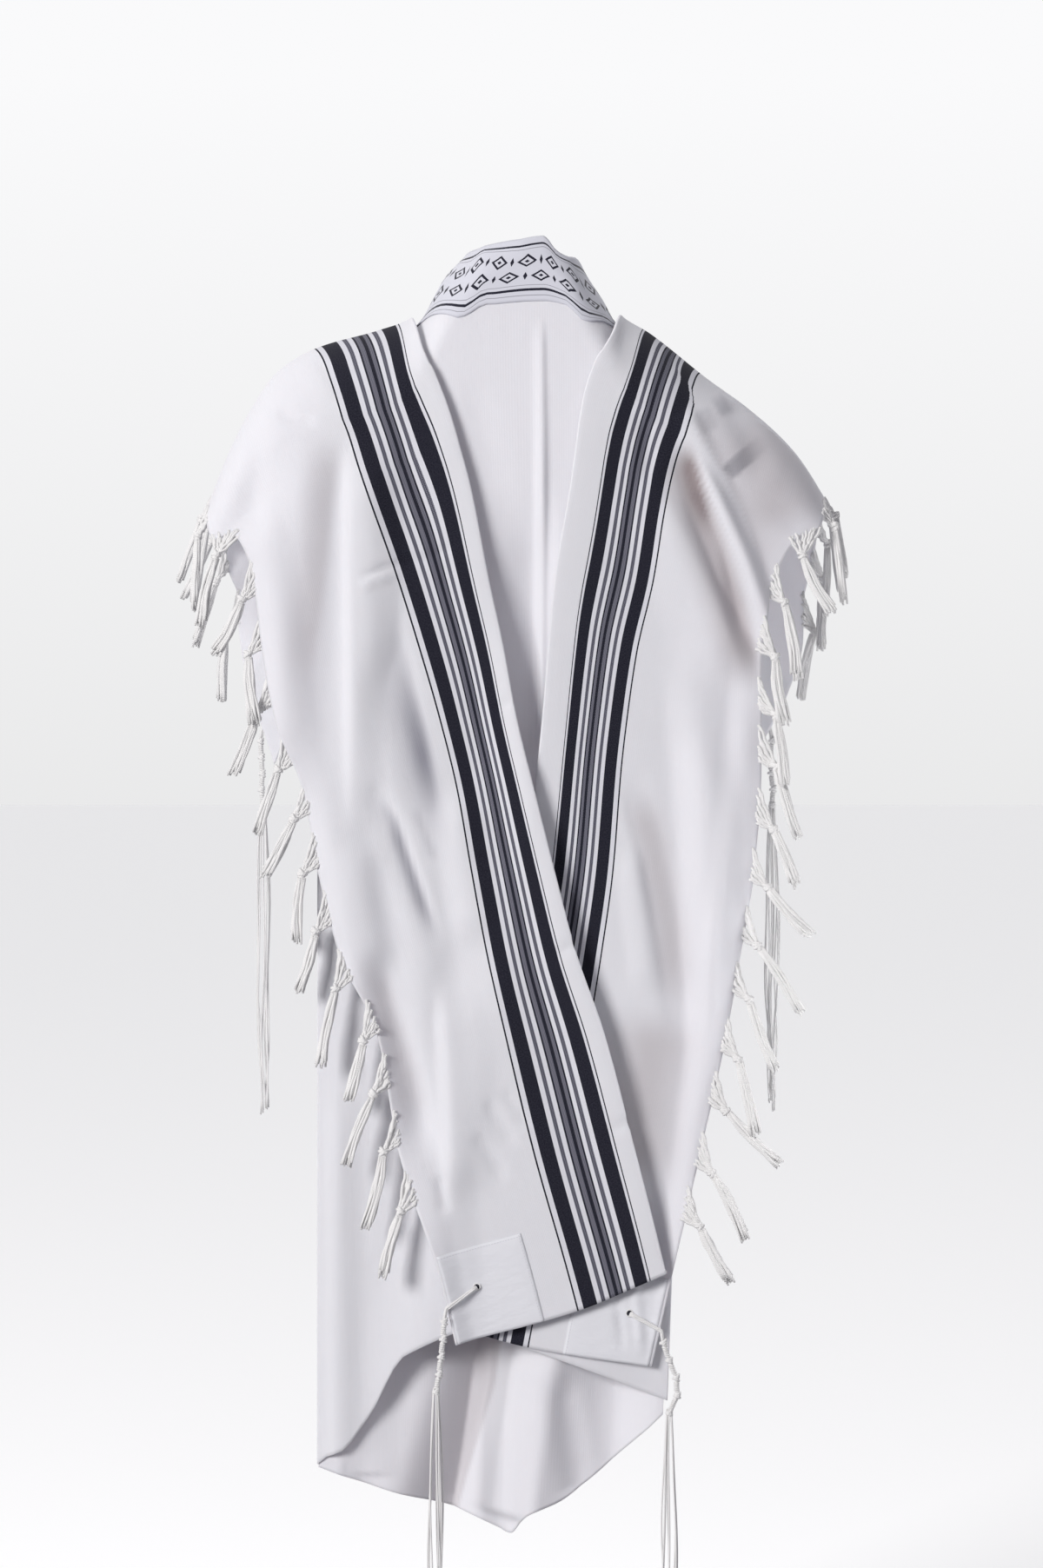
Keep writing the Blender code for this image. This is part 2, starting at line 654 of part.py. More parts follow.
def add_tzitzit(name, route, end_height, material, collection):
    """Wound head along a route, ending in eight strands fused to its lower end."""
    bm = bmesh.new()
    bmesh.ops.create_grid(bm, x_segments=4, y_segments=2, size=0.5)
    for vertex in bm.verts:
        reach = max(abs(vertex.co.x), abs(vertex.co.y)) * 2.0
        turn = math.atan2(vertex.co.y, vertex.co.x)
        scale = reach * TZITZIT_KNOT_RADIUS
        vertex.co = Vector((math.cos(turn) * scale, math.sin(turn) * scale, 0.0))
    end_faces = bm.faces[:]
    rim = [edge for edge in bm.edges if edge.is_boundary]
    rim_verts = sorted({vertex for edge in rim for vertex in edge.verts},
                       key=lambda vertex: math.atan2(vertex.co.y, vertex.co.x))
    turns = [math.atan2(vertex.co.y, vertex.co.x) for vertex in rim_verts]
    bottom = route[-1]
    for vertex in bm.verts:
        vertex.co += bottom
    ring = rim_verts
    count = len(ring)
    for index in range(len(route) - 2, -1, -1):
        place = route[index]
        if index == 0:
            way = (route[0] - route[1]).normalized()
        else:
            way = (route[index - 1] - route[index + 1]).normalized()
        frame = Vector((0.0, 0.0, 1.0)).rotation_difference(way).to_matrix()
        radius = TZITZIT_KNOT_RADIUS if index in TZITZIT_KNOTS else TZITZIT_RADIUS
        upper = []
        for turn in turns:
            offset = Vector((math.cos(turn) * radius, math.sin(turn) * radius, 0.0))
            upper.append(bm.verts.new(place + frame @ offset))
        for corner in range(count):
            other = (corner + 1) % count
            bm.faces.new((ring[corner], ring[other], upper[other], upper[corner]))
        ring = upper
    bm.faces.new(ring)
    bmesh.ops.recalc_face_normals(bm, faces=bm.faces[:])
    bmesh.ops.inset_individual(bm, faces=end_faces, thickness=0.0004, depth=0.0)
    bm.normal_update()
    chance = np.random.default_rng(len(name))
    for number, face in enumerate(end_faces):
        centre = face.calc_center_median()
        spread = Vector((centre.x - bottom.x, centre.y - bottom.y, 0.0))
        end = end_height + 0.012 * float(chance.uniform(0.0, 1.0))
        length = bottom.z - end
        sway = Vector((float(chance.uniform(-0.001, 0.001)), float(chance.uniform(-0.001, 0.001)), 0.0))
        rings = []
        for part in (0.25, 0.6, 1.0):
            place = bottom + spread * (1.3 + 0.9 * math.sin(math.pi * part)) + sway * part
            place.z = bottom.z - length * part
            rings.append((place, Vector((0.0, 0.0, -1.0)), STRAND_HALF, STRAND_HALF))
        grow(bm, face, Vector((1.0, 0.0, 0.0)), Vector((0.0, 1.0, 0.0)), rings)
    bmesh.ops.recalc_face_normals(bm, faces=bm.faces[:])
    return add_mesh_object(name, bm, material, collection)


def tzitzit_route(eyelet, eyelet_normal, edge, edge_normal, outward):
    """Route from the eyelet over the cloth's edge and straight down."""
    lift = WALL + SEAM_GAP + PATCH_WALL + SEAM_GAP + TZITZIT_RADIUS
    start = eyelet + eyelet_normal * lift
    over = edge + edge_normal * lift + outward * CORD_CLEARANCE
    below = over + Vector((outward.x * 0.002, 0.0, -TZITZIT_TURN))
    route = [start, start.lerp(over, 0.5), over, below]
    steps = 8
    for index in range(1, steps + 1):
        route.append(below + Vector((0.0, 0.0, -TZITZIT_WOUND * index / steps)))
    return route


def thread_lines(rows, hem, gives):
    """Thread lines of every named column of a table."""
    lines = []
    for column in hem._fields[1:]:
        lines.append(thread_line(rows, column, getattr(hem, column), getattr(gives, column)))
    return lines


END_THREADS = {
    True: thread_lines(LEFT_END, LEFT_END_HEM, END_GIVE),
    False: thread_lines(RIGHT_END, RIGHT_END_HEM, END_GIVE),
}
UNDER_THREADS = {
    True: thread_lines(LEFT_UNDER, LEFT_UNDER_HEM, UNDER_GIVE),
    False: thread_lines(RIGHT_UNDER, RIGHT_UNDER_HEM, UNDER_GIVE),
}


def remove_scene_objects():
    """Empty the scene."""
    for item in list(bpy.data.objects):
        bpy.data.objects.remove(item, do_unlink=True)


def nearest(values, wanted):
    """Number of the value that comes nearest."""
    return min(range(len(values)), key=lambda index: abs(values[index] - wanted))


def end_alongs():
    """Places of an end's rows of points, closer together over the shoulder."""
    front = marks((0.0, PATCH_SIDE, OVER_SHOULDER[0]), 0.045)
    middle = marks(OVER_SHOULDER, 0.023)
    back = marks((OVER_SHOULDER[1], CLOTH_WIDTH - PATCH_SIDE, CLOTH_WIDTH), 0.048)
    return front[:-1] + middle[:-1] + back


def build_end(is_left, wool, patch, fringe, collection):
    """End panel with its two patches, two fringes and two corner tassels."""
    name = "left" if is_left else "right"
    outward_is_reversed = not is_left
    acrosses = marks((0.0, BAND_LINE, END_PANEL_WIDTH - PATCH_SIDE, END_PANEL_WIDTH), 0.024)
    alongs = end_alongs()
    rows = [[end_point(is_left, across, along) for across in acrosses] for along in alongs]
    points, normals = add_cloth(name + "_end_panel", rows, outward_is_reversed, WALL, wool, collection)
    patch_column = nearest(acrosses, END_PANEL_WIDTH - PATCH_SIDE)
    front_row = nearest(alongs, PATCH_SIDE)
    back_row = nearest(alongs, CLOTH_WIDTH - PATCH_SIDE)
    last_row = len(alongs) - 1
    last_column = len(acrosses) - 1
    for place, row_range in (("front", (0, front_row)), ("back", (back_row, last_row))):
        add_overlay(name + "_" + place + "_patch", points, normals, row_range, (patch_column, last_column),
                    outward_is_reversed, PATCH_WALL, patch, collection)
    line = edge_line(points, normals)
    length = line[3][-1]
    edge_drops = [end_place(is_left, END_PANEL_WIDTH, along)[1] for along in alongs]
    crest = line[3][nearest(edge_drops, 0.0)]
    swings = LEFT_SWING if is_left else RIGHT_SWING
    reaches = (
        ("front", TASSEL_CLEAR_OF_CORNER, crest - CLEAR_OF_CREST),
        ("back", crest + CLEAR_OF_CREST, length - TASSEL_CLEAR_OF_CORNER),
    )
    for place, start, end in reaches:
        add_fringe(name + "_" + place + "_fringe", line, is_left, start, end, swings, fringe, collection)
    corners = (
        ("front", EYELET_TO_HEM, CORD_TO_HEM, LOWEST_IN_FRONT),
        ("back", CLOTH_WIDTH - EYELET_TO_HEM, length - CORD_TO_HEM, LOWEST_POINT),
    )
    for place, eyelet_along, distance, lowest in corners:
        row = int(np.clip(np.searchsorted(alongs, eyelet_along), 0, last_row))
        eyelet = end_point(is_left, END_PANEL_WIDTH - EYELET_TO_EDGE, eyelet_along)
        edge, outward, normal = edge_frame(line, distance)
        route = tzitzit_route(eyelet, normals[row][patch_column], edge, normal, outward)
        add_tzitzit(name + "_" + place + "_tzitzit", route, lowest, fringe, collection)


def build_under(is_left, wool, collection):
    """Stretch that turns back beneath an end panel."""
    name = "left_under_fold" if is_left else "right_under_fold"
    parts = marks((0.0, UNDER_MIDDLE, 1.0), 0.11)
    alongs = end_alongs()[:-1] + [CLOTH_WIDTH - HEM_STEP]
    rows = [[under_point(is_left, part, along) for part in parts] for along in alongs]
    add_cloth(name, rows, not is_left, WALL, wool, collection)


def build_back(wool, band, collection):
    """Back panel with its neckband."""
    acrosses = marks((-NECK_TO_FOLD, -0.095, 0.0, 0.065, NECK_TO_FOLD), 0.024)
    alongs = marks((0.0, NECKBAND_WIDTH, 0.30), 0.023)[:-1] + marks((0.30, CLOTH_WIDTH), 0.045)
    rows = [[back_point(across, along) for across in acrosses] for along in alongs]
    points, normals = add_cloth("back_panel", rows, True, WALL, wool, collection)
    band_row = nearest(alongs, NECKBAND_WIDTH)
    add_overlay("neckband", points, normals, (0, band_row), (0, len(acrosses) - 1), True, NECKBAND_WALL,
                band, collection)


def main():
    """Build every piece of the shawl."""
    remove_scene_objects()
    collection = bpy.data.collections.new(OBJECT_NAME)
    bpy.context.scene.collection.children.link(collection)
    wool = make_material("white_wool", WOOL_FINISH)
    band = make_material("neckband_weave", BAND_FINISH)
    patch = make_material("patch_cotton", PATCH_FINISH)
    fringe = make_material("wool_twist", FRINGE_FINISH)
    build_back(wool, band, collection)
    for is_left in (True, False):
        build_under(is_left, wool, collection)
        build_end(is_left, wool, patch, fringe, collection)


main()
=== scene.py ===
import math

import bmesh
import bpy
import numpy as np
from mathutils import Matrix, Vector


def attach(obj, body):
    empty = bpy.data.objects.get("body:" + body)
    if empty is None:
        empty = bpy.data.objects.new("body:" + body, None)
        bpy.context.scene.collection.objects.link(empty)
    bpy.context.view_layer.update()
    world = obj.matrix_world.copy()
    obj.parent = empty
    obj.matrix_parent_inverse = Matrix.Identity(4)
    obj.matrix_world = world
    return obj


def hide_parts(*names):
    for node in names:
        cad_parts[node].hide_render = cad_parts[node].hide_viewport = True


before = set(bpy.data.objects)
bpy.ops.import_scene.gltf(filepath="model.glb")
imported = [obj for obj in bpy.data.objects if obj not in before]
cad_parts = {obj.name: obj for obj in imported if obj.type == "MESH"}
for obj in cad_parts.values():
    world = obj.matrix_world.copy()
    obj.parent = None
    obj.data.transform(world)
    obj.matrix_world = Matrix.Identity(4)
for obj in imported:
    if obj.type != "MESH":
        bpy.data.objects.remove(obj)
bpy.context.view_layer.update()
print("frame loaded", len(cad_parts), "nodes")

# Sizes of the cloth in metres, the same as in the solids.
# Side runs left to right, drop runs down from the shoulder line: plus behind, minus in front.
cloth = {
    "width": 1.36, "wall": 0.0016, "seam": 0.0003, "endWidth": 0.22, "bandLine": 0.095,
    "patchSide": 0.09, "patchWall": 0.001, "neckband": 0.075, "neckToFold": 0.26,
    "shoulderLayer": 0.0056, "hangingLayer": 0.006, "foldGap": 0.0007, "shoulderFade": 0.3,
    "threadStep": 0.01, "normalReach": 0.012, "crossingRamp": 0.07, "layerEase": 0.0028,
    "overNeckband": 0.0072, "neckbandReach": 0.19, "hemStep": 0.004, "underMiddle": 0.7,
    "crossingTop": 0.2,
}
look = {
    "thickness": 0.0013, "step": 0.004, "fineStep": 0.0015, "fineReach": 0.012, "edgeGrow": 0.003,
}

# General figure that carries the cloth
shoulderLine = {
    "side": (-0.328, -0.309, -0.29, -0.268, -0.243, -0.207, -0.144, -0.108, -0.075, -0.058, -0.035,
             0.021, 0.045, 0.065, 0.082, 0.095, 0.126, 0.185, 0.225, 0.27, 0.304, 0.34),
    "height": (-0.25, -0.188, -0.137, -0.093, -0.057, -0.035, -0.017, -0.003, 0.05, 0.068, 0.095,
               0.107, 0.088, 0.05, 0.024, 0.001, -0.019, -0.066, -0.095, -0.137, -0.19, -0.262),
}
hang = {
    "height": (-1.45, -0.8, -0.5, -0.25, -0.14, -0.06, 0.00, 0.05, 0.11),
    "behind": (0.135, 0.138, 0.136, 0.134, 0.122, 0.102, 0.084, 0.072, 0.066),
    "before": (0.125, 0.125, 0.124, 0.118, 0.104, 0.082, 0.064, 0.058, 0.055),
}
girth = {
    "side": (0.00, 0.06, 0.14, 0.25, 0.35),
    "behind": (1.00, 1.00, 0.98, 0.88, 0.72),
    "before": (1.00, 1.00, 1.00, 1.15, 1.25),
    "rounding": (0.04, 0.055, 0.09, 0.09, 0.09),
}


def ease(value):
    value = np.clip(value, 0.0, 1.0)
    return value * value * (3.0 - 2.0 * value)


def smoothThrough(place, places, values):
    # smooth curve through the values that never overshoots them
    places = np.asarray(places, float)
    values = np.asarray(values, float)
    slopes = np.diff(values) / np.diff(places)
    tangents = np.zeros(len(places))
    tangents[0] = slopes[0]
    tangents[-1] = slopes[-1]
    before = slopes[:-1]
    after = slopes[1:]
    same = before * after > 0
    inner = np.zeros(len(before))
    inner[same] = 2.0 * before[same] * after[same] / (before[same] + after[same])
    tangents[1:-1] = inner
    place = np.clip(place, places[0], places[-1])
    index = np.clip(np.searchsorted(places, place) - 1, 0, len(places) - 2)
    span = places[index + 1] - places[index]
    part = (place - places[index]) / span
    return ((2 * part**3 - 3 * part**2 + 1) * values[index]
            + (part**3 - 2 * part**2 + part) * span * tangents[index]
            + (3 * part**2 - 2 * part**3) * values[index + 1]
            + (part**3 - part**2) * span * tangents[index + 1])


def figurePoint(side, drop):
    side = np.asarray(side, float)
    drop = np.asarray(drop, float)
    behind = drop > 0
    fall = np.abs(drop)
    rounding = smoothThrough(np.abs(side), girth["side"], girth["rounding"])
    fadeLength = np.where(behind, cloth["shoulderFade"], 2.0 * cloth["shoulderFade"])
    fade = 1.0 - ease(fall / fadeLength)
    turn = 0.5 * math.pi * fall / rounding
    rounded = fall < rounding
    down = np.where(rounded, rounding * (1.0 - np.cos(turn)), fall)
    outward = np.where(rounded, np.sin(turn), 1.0)
    crest = smoothThrough(side, shoulderLine["side"], shoulderLine["height"])
    height = crest * fade - down
    back, front = (smoothThrough(height, hang["height"], hang[key])
                   * smoothThrough(np.abs(side), girth["side"], girth[key]) for key in ("behind", "before"))
    depth = np.where(behind, -back, front)
    return np.stack([side, depth * outward, height], axis=-1)


def outwardNormal(side, drop):
    reach = cloth["normalReach"]
    across = figurePoint(side + reach, drop) - figurePoint(side - reach, drop)
    down = figurePoint(side, drop + reach) - figurePoint(side, drop - reach)
    normal = np.cross(down, across)
    return normal / np.linalg.norm(normal, axis=-1, keepdims=True)


def wornPoint(side, drop, lift):
    return figurePoint(side, drop) + outwardNormal(side, drop) * np.asarray(lift)[..., None]


def layerLift(level, drop):
    shoulder, hanging = cloth["shoulderLayer"], cloth["hangingLayer"]
    return level * (shoulder + (hanging - shoulder) * ease(np.abs(drop) / cloth["shoulderFade"]))


# Thread lines of the two ends: side of each line at each drop, and its drop at the hem
endLines = {
    True: {
        "drop": (-0.45, -0.3, -0.15, 0.00, 0.05, 0.1, 0.15, 0.2, 0.26, 0.33, 0.41, 0.48, 0.56, 0.64, 0.72,
                 0.84, 0.96, 1.04),
        "inner": (-0.1, -0.103, -0.107, -0.106, -0.097, -0.084, -0.068, -0.052, -0.037, -0.021, -0.006,
                  0.011, 0.031,
                  0.052, 0.079, 0.11, 0.14, 0.158),
        "stripe": (-0.18, -0.192, -0.202, -0.21, -0.196, -0.176, -0.162, -0.147, -0.127, -0.105, -0.082,
                   -0.065, -0.051,
                   -0.036, -0.018, 0.011, 0.045, 0.066),
        "outer": (-0.262, -0.292, -0.304, -0.307, -0.307, -0.303, -0.292, -0.278, -0.264, -0.255, -0.24,
                  -0.214, -0.199,
                  -0.178, -0.141, -0.118, -0.079, -0.061),
        "hem": {"inner": 0.963, "stripe": 1.000, "outer": 1.032},
        "give": {"inner": 1.03, "stripe": 1.015, "outer": 1.000},
    },
    False: {
        "drop": (-0.45, -0.3, -0.15, 0.00, 0.04, 0.08, 0.12, 0.2, 0.27, 0.34, 0.4, 0.46, 0.56, 0.64, 0.72,
                 0.8, 0.94, 1.06),
        "inner": (0.088, 0.092, 0.096, 0.094, 0.088, 0.075, 0.064, 0.05, 0.035, 0.028, 0.023, 0.017, 0.006,
                  -0.007,
                  -0.023, -0.041, -0.074, -0.101),
        "stripe": (0.16, 0.168, 0.178, 0.183, 0.176, 0.166, 0.156, 0.142, 0.132, 0.116, 0.107, 0.1, 0.092,
                   0.081,
                   0.068, 0.053, 0.026, 0.003),
        "outer": (0.24, 0.284, 0.302, 0.302, 0.298, 0.293, 0.284, 0.266, 0.248, 0.236, 0.236, 0.236, 0.229,
                  0.216,
                  0.2, 0.183, 0.152, 0.126),
        "hem": {"inner": 1.01, "stripe": 1.038, "outer": 1.057},
        "give": {"inner": 1.03, "stripe": 1.015, "outer": 1.000},
    },
}
underLines = {
    True: {
        "drop": (-0.3, 0.00, 0.25, 0.5, 0.8, 1.17),
        "middle": (-0.172, -0.178, -0.162, -0.148, -0.132, -0.108),
        "outer": (-0.196, -0.202, -0.204, -0.204, -0.204, -0.204),
        "hem": {"middle": 1.05, "outer": 1.161},
        "give": {"middle": 1.03, "outer": 1.03},
    },
    False: {
        "drop": (-0.3, 0.00, 0.25, 0.5, 0.8, 1.17),
        "middle": (0.156, 0.16, 0.146, 0.132, 0.108, 0.068),
        "outer": (0.18, 0.186, 0.176, 0.168, 0.156, 0.142),
        "hem": {"middle": 1.07, "outer": 1.096},
        "give": {"middle": 1.03, "outer": 1.03},
    },
}


def threadLine(rows, column):
    hemDrop = rows["hem"][column]
    drops = hemDrop - cloth["threadStep"] * np.arange(0, 260)
    points = wornPoint(smoothThrough(drops, rows["drop"], rows[column]), drops, np.zeros(len(drops)))
    steps = np.linalg.norm(np.diff(points, axis=0), axis=1) / rows["give"][column]
    lengths = cloth["width"] - np.concatenate([[0.0], np.cumsum(steps)])
    return lengths[::-1], drops[::-1]


endThreads = {isLeft: {column: threadLine(endLines[isLeft], column)
                       for column in ("inner", "stripe", "outer")}
              for isLeft in (True, False)}
underThreads = {isLeft: {column: threadLine(underLines[isLeft], column) for column in ("middle", "outer")}
                for isLeft in (True, False)}


def linePlace(rows, threads, column, along):
    drop = np.interp(along, *threads[column])
    return smoothThrough(drop, rows["drop"], rows[column]), drop


def acrossRows(cells, positions, parts):
    # every row has its own values at the named positions
    rows = range(len(cells[0][0]))
    return [np.array([smoothThrough(parts, positions, [cell[axis][row] for cell in cells]) for row in rows])
            for axis in (0, 1)]


def endPlace(isLeft, acrosses, alongs):
    cells = [linePlace(endLines[isLeft], endThreads[isLeft], column, alongs)
             for column in ("inner", "stripe", "outer")]
    places = (0.0, cloth["bandLine"], cloth["endWidth"])
    return acrossRows(cells, places, np.minimum(acrosses, cloth["endWidth"]))


def layersBeneath(isLeft, side, drop):
    # two layers under each end, and two more where the left end crosses the right one
    if not isLeft:
        return 2.0
    rows = endLines[False]
    reach = smoothThrough(drop, rows["drop"], rows["inner"]) - cloth["crossingRamp"]
    lower = ease((drop - cloth["crossingTop"]) / cloth["crossingTop"])
    return 2.0 + 2.0 * ease((side - reach) / cloth["crossingRamp"]) * lower


def crease(depth, left, right, *line, **ends):
    # a ridge, or a trough if its depth is negative, with its width on each side of a line
    return {"depth": depth, "left": left, "right": right, "line": line, **ends}


# Large folds, as in the solids: each line runs from its top to its bottom, both as side and drop
endFolds = {
    True: (
        crease(0.011, 0.012, 0.034, (-0.169, 0.1), (-0.167, 0.44)),
        crease(0.01, 0.035, 0.035, (-0.27, 0.14), (-0.232, 0.4)),
        crease(0.008, 0.04, 0.04, (-0.115, 0.48), (-0.072, 0.98)),
        crease(0.019, 0.035, 0.042, (-0.21, 0.42), (-0.075, 1.08)),
        crease(0.008, 0.022, 0.024, (-0.145, -0.03), (-0.132, -0.42)),
        crease(0.005, 0.014, 0.014, (-0.19, -0.1), (-0.172, -0.44)),
        crease(0.01, 0.03, 0.024, (-0.236, -0.05), (-0.214, -0.4)),
    ),
    False: (
        crease(0.015, 0.018, 0.02, (0.17, 0.09), (0.247, 0.33)),
        crease(0.01, 0.034, 0.04, (0.166, 0.3), (0.196, 0.76)),
        crease(0.009, 0.022, 0.03, (0.235, 0.3), (0.15, 1.000)),
        crease(0.008, 0.018, 0.024, (0.132, -0.04), (0.12, -0.42)),
        crease(0.0045, 0.014, 0.012, (0.176, -0.12), (0.16, -0.45)),
        crease(0.01, 0.028, 0.026, (0.22, -0.06), (0.204, -0.42)),
    ),
}
underFolds = {
    True: (crease(0.008, 0.016, 0.03, (-0.186, 0.7), (-0.184, 1.25)),),
    False: (),
}
backFolds = (
    crease(0.003, 0.01, 0.01, (0.021, 0.09), (0.021, 0.52)),
    crease(-0.06, 0.12, 0.08, (-0.02, 0.86), (-0.076, 1.26), sharp=1.0),
    crease(-0.026, 0.08, 0.05, (0.1, 0.9), (0.084, 1.25)),
    crease(-0.01, 0.026, 0.034, (-0.152, 0.34), (-0.162, 0.96)),
    crease(-0.008, 0.034, 0.026, (-0.072, 0.42), (-0.092, 0.9)),
    crease(-0.009, 0.026, 0.034, (0.082, 0.3), (0.094, 0.9)),
    crease(-0.006, 0.02, 0.018, (0.136, 0.48), (0.132, 0.98)),
)
foldShape = {"grows": 0.3, "fades": 0.55, "ends": 1.35}


def foldRelief(folds, side, drop):
    total = np.zeros(np.shape(side))
    for fold in folds:
        (topSide, topDrop), (bottomSide, bottomDrop) = fold["line"]
        part = (drop - topDrop) / (bottomDrop - topDrop)
        centre = topSide + (bottomSide - topSide) * part
        width = np.where(side < centre, fold["left"], fold["right"])
        away = np.abs(side - centre) / width
        across = 1.0 - ease(away)
        if fold.get("sharp"):
            across = across + fold["sharp"] * (np.clip(1.0 - away, 0.0, 1.0) - across)
        ends = ease(part / foldShape["grows"]) * ease((foldShape["ends"] - part) / foldShape["fades"])
        total += fold["depth"] * across * ends
    return total


# Places on the cloth are given as the photo's pixels, and found on the figure behind
picture = {"metresPerPixel": 0.0009, "distance": 4.5, "centreX": 600.0, "centreY": 902.0,
           "eyeHeight": -0.474, "firstScale": 0.00087}


def fromPicture(px, py):
    px = np.atleast_1d(np.asarray(px, float))
    py = np.atleast_1d(np.asarray(py, float))
    side = (px - picture["centreX"]) * picture["firstScale"]
    low = np.zeros(len(px)) - 0.02
    high = np.full(len(px), 1.35)
    for step in range(28):
        middle = 0.5 * (low + high)
        place = figurePoint(side, middle)
        scale = picture["metresPerPixel"] * (picture["distance"] + place[:, 1]) / picture["distance"]
        side = (px - picture["centreX"]) * scale
        wanted = picture["eyeHeight"] - (py - picture["centreY"]) * scale
        above = place[:, 2] > wanted
        low = np.where(above, middle, low)
        high = np.where(above, high, middle)
    return side, 0.5 * (low + high)


def toPicture(points):
    scale = picture["metresPerPixel"] * (picture["distance"] + points[..., 1]) / picture["distance"]
    px = picture["centreX"] + points[..., 0] / scale
    py = picture["centreY"] + (picture["eyeHeight"] - points[..., 2]) / scale
    return px, py


def creaseRelief(creases, points):
    # soft troughs and ridges along lines seen from behind
    px, py = toPicture(points)
    total = np.zeros(np.shape(px))
    for crease in creases:
        line = crease["line"]
        best = np.full(np.shape(px), 1e9)
        bestPart = np.zeros(np.shape(px))
        bestSign = np.ones(np.shape(px))
        for index, ((startX, startY), (endX, endY)) in enumerate(zip(line[:-1], line[1:])):
            alongX, alongY = endX - startX, endY - startY
            part = np.clip(((px - startX) * alongX + (py - startY) * alongY) / (alongX**2 + alongY**2), 0.0, 1.0)
            awayX = px - startX - part * alongX
            awayY = py - startY - part * alongY
            distance = np.hypot(awayX, awayY) * picture["metresPerPixel"]
            closer = distance < best
            best = np.where(closer, distance, best)
            bestPart = np.where(closer, (index + part) / (len(line) - 1), bestPart)
            bestSign = np.where(closer, np.sign(awayX * alongY - awayY * alongX), bestSign)
        away = best / np.where(bestSign < 0, crease["left"], crease["right"])
        across = 1.0 - ease(away)
        if "sharp" in crease:
            across = across**1.6 * 0.4 + 0.6 * np.clip(1.0 - away, 0.0, 1.0)
        if "flat" in crease:
            across = np.clip((1.0 - away) * crease["flat"], 0.0, 1.0)
        start = ease(bestPart / crease.get("fadeIn", 0.25))
        end = ease((1.0 - bestPart) / crease.get("fadeOut", 0.25))
        total += crease["depth"] * across * (start * end)
    return total


def paintedShadingOf(paintedShading, points, shown):
    # painted shade, as two values at each point: cool painted show-through of what lies beneath together with painted
    # soft fold shadows, and warm painted shade in fold valleys
    cool = creaseRelief([each for each in paintedShading if each["depth"] > 0.0], points)
    warm = -creaseRelief([each for each in paintedShading if each["depth"] < 0.0], points)
    return np.where(shown[..., None], np.clip(np.stack([cool, warm], axis=-1), 0.0, 1.0), 0.0)


def makeSheet(name, points, uvs, paintedShade, material, thickness, flipped):
    rows, columns = points.shape[:2]
    mesh = bpy.data.meshes.new(name)
    index = np.arange(rows * columns).reshape(rows, columns)
    quads = np.stack([index[:-1, :-1], index[:-1, 1:], index[1:, 1:], index[1:, :-1]], axis=-1).reshape(-1, 4)
    if flipped:
        quads = quads[:, ::-1]
    mesh.from_pydata(points.reshape(-1, 3).tolist(), [], quads.tolist())
    layer = mesh.uv_layers.new(name="cloth")
    flat = uvs.reshape(-1, 2)
    loops = np.zeros(len(mesh.loops), dtype=np.int32)
    mesh.loops.foreach_get("vertex_index", loops)
    layer.data.foreach_set("uv", flat[loops].astype(np.float32).ravel())
    # two painted shade attributes: cool painted show-through with fold shadows, and warm painted fold shade
    for number, paintedShadeName in enumerate(("paintedShowThroughAndShade", "paintedWarmShade")):
        shade = mesh.attributes.new(paintedShadeName, "FLOAT", "POINT")
        shade.data.foreach_set("value", paintedShade[..., number].reshape(-1).astype(np.float32))
    mesh.polygons.foreach_set("use_smooth", np.ones(len(mesh.polygons), dtype=bool))
    mesh.update()
    piece = bpy.data.objects.new(name, mesh)
    bpy.context.scene.collection.objects.link(piece)
    mesh.materials.append(material)
    wall = piece.modifiers.new("wall", "SOLIDIFY")
    wall.thickness = thickness
    wall.offset = 0.0
    wall.use_even_offset = False
    return piece


# Materials. Cloth coordinates are metres: across from the folded edge, along from the front hem.
def newMaterial(name, roughness, sheen=0.0):
    material = bpy.data.materials.new(name)
    material.use_nodes = True
    shader = material.node_tree.nodes["Principled BSDF"]
    shader.inputs["Roughness"].default_value = roughness
    shader.inputs["Sheen Weight"].default_value = sheen
    shader.inputs["Sheen Roughness"].default_value = 0.5
    shader.inputs["Specular IOR Level"].default_value = 0.15
    return material, material.node_tree, shader


def addNode(tree, kind, **settings):
    node = tree.nodes.new(kind)
    for key, value in settings.items():
        setattr(node, key, value)
    return node


def mathNode(tree, operation, first, second=None, third=None, clamp=False):
    node = addNode(tree, "ShaderNodeMath", operation=operation, use_clamp=clamp)
    for slot, value in enumerate((first, second, third)):
        if value is None:
            continue
        if isinstance(value, (int, float)):
            node.inputs[slot].default_value = value
        else:
            tree.links.new(value, node.inputs[slot])
    return node.outputs[0]


def mixColour(tree, factor, first, second, blend="MIX"):
    node = addNode(tree, "ShaderNodeMix", data_type="RGBA", blend_type=blend)
    for slot, value in ((0, factor), (6, first), (7, second)):
        if isinstance(value, (int, float)):
            node.inputs[slot].default_value = value
        elif isinstance(value, tuple):
            node.inputs[slot].default_value = (*value, 1.0)
        else:
            tree.links.new(value, node.inputs[slot])
    return node.outputs[2]


def clothCoordinates(tree):
    uv = addNode(tree, "ShaderNodeUVMap", uv_map="cloth")
    split = addNode(tree, "ShaderNodeSeparateXYZ")
    tree.links.new(uv.outputs[0], split.inputs[0])
    return uv.outputs[0], split.outputs[0], split.outputs[1]


def noise(tree, vector, scale, detail=2.0, stretch=None):
    if stretch:
        mapping = addNode(tree, "ShaderNodeMapping")
        mapping.inputs["Scale"].default_value = stretch
        tree.links.new(vector, mapping.inputs["Vector"])
        vector = mapping.outputs[0]
    node = addNode(tree, "ShaderNodeTexNoise")
    node.inputs["Scale"].default_value = scale
    node.inputs["Detail"].default_value = detail
    tree.links.new(vector, node.inputs["Vector"])
    return node.outputs["Fac"]


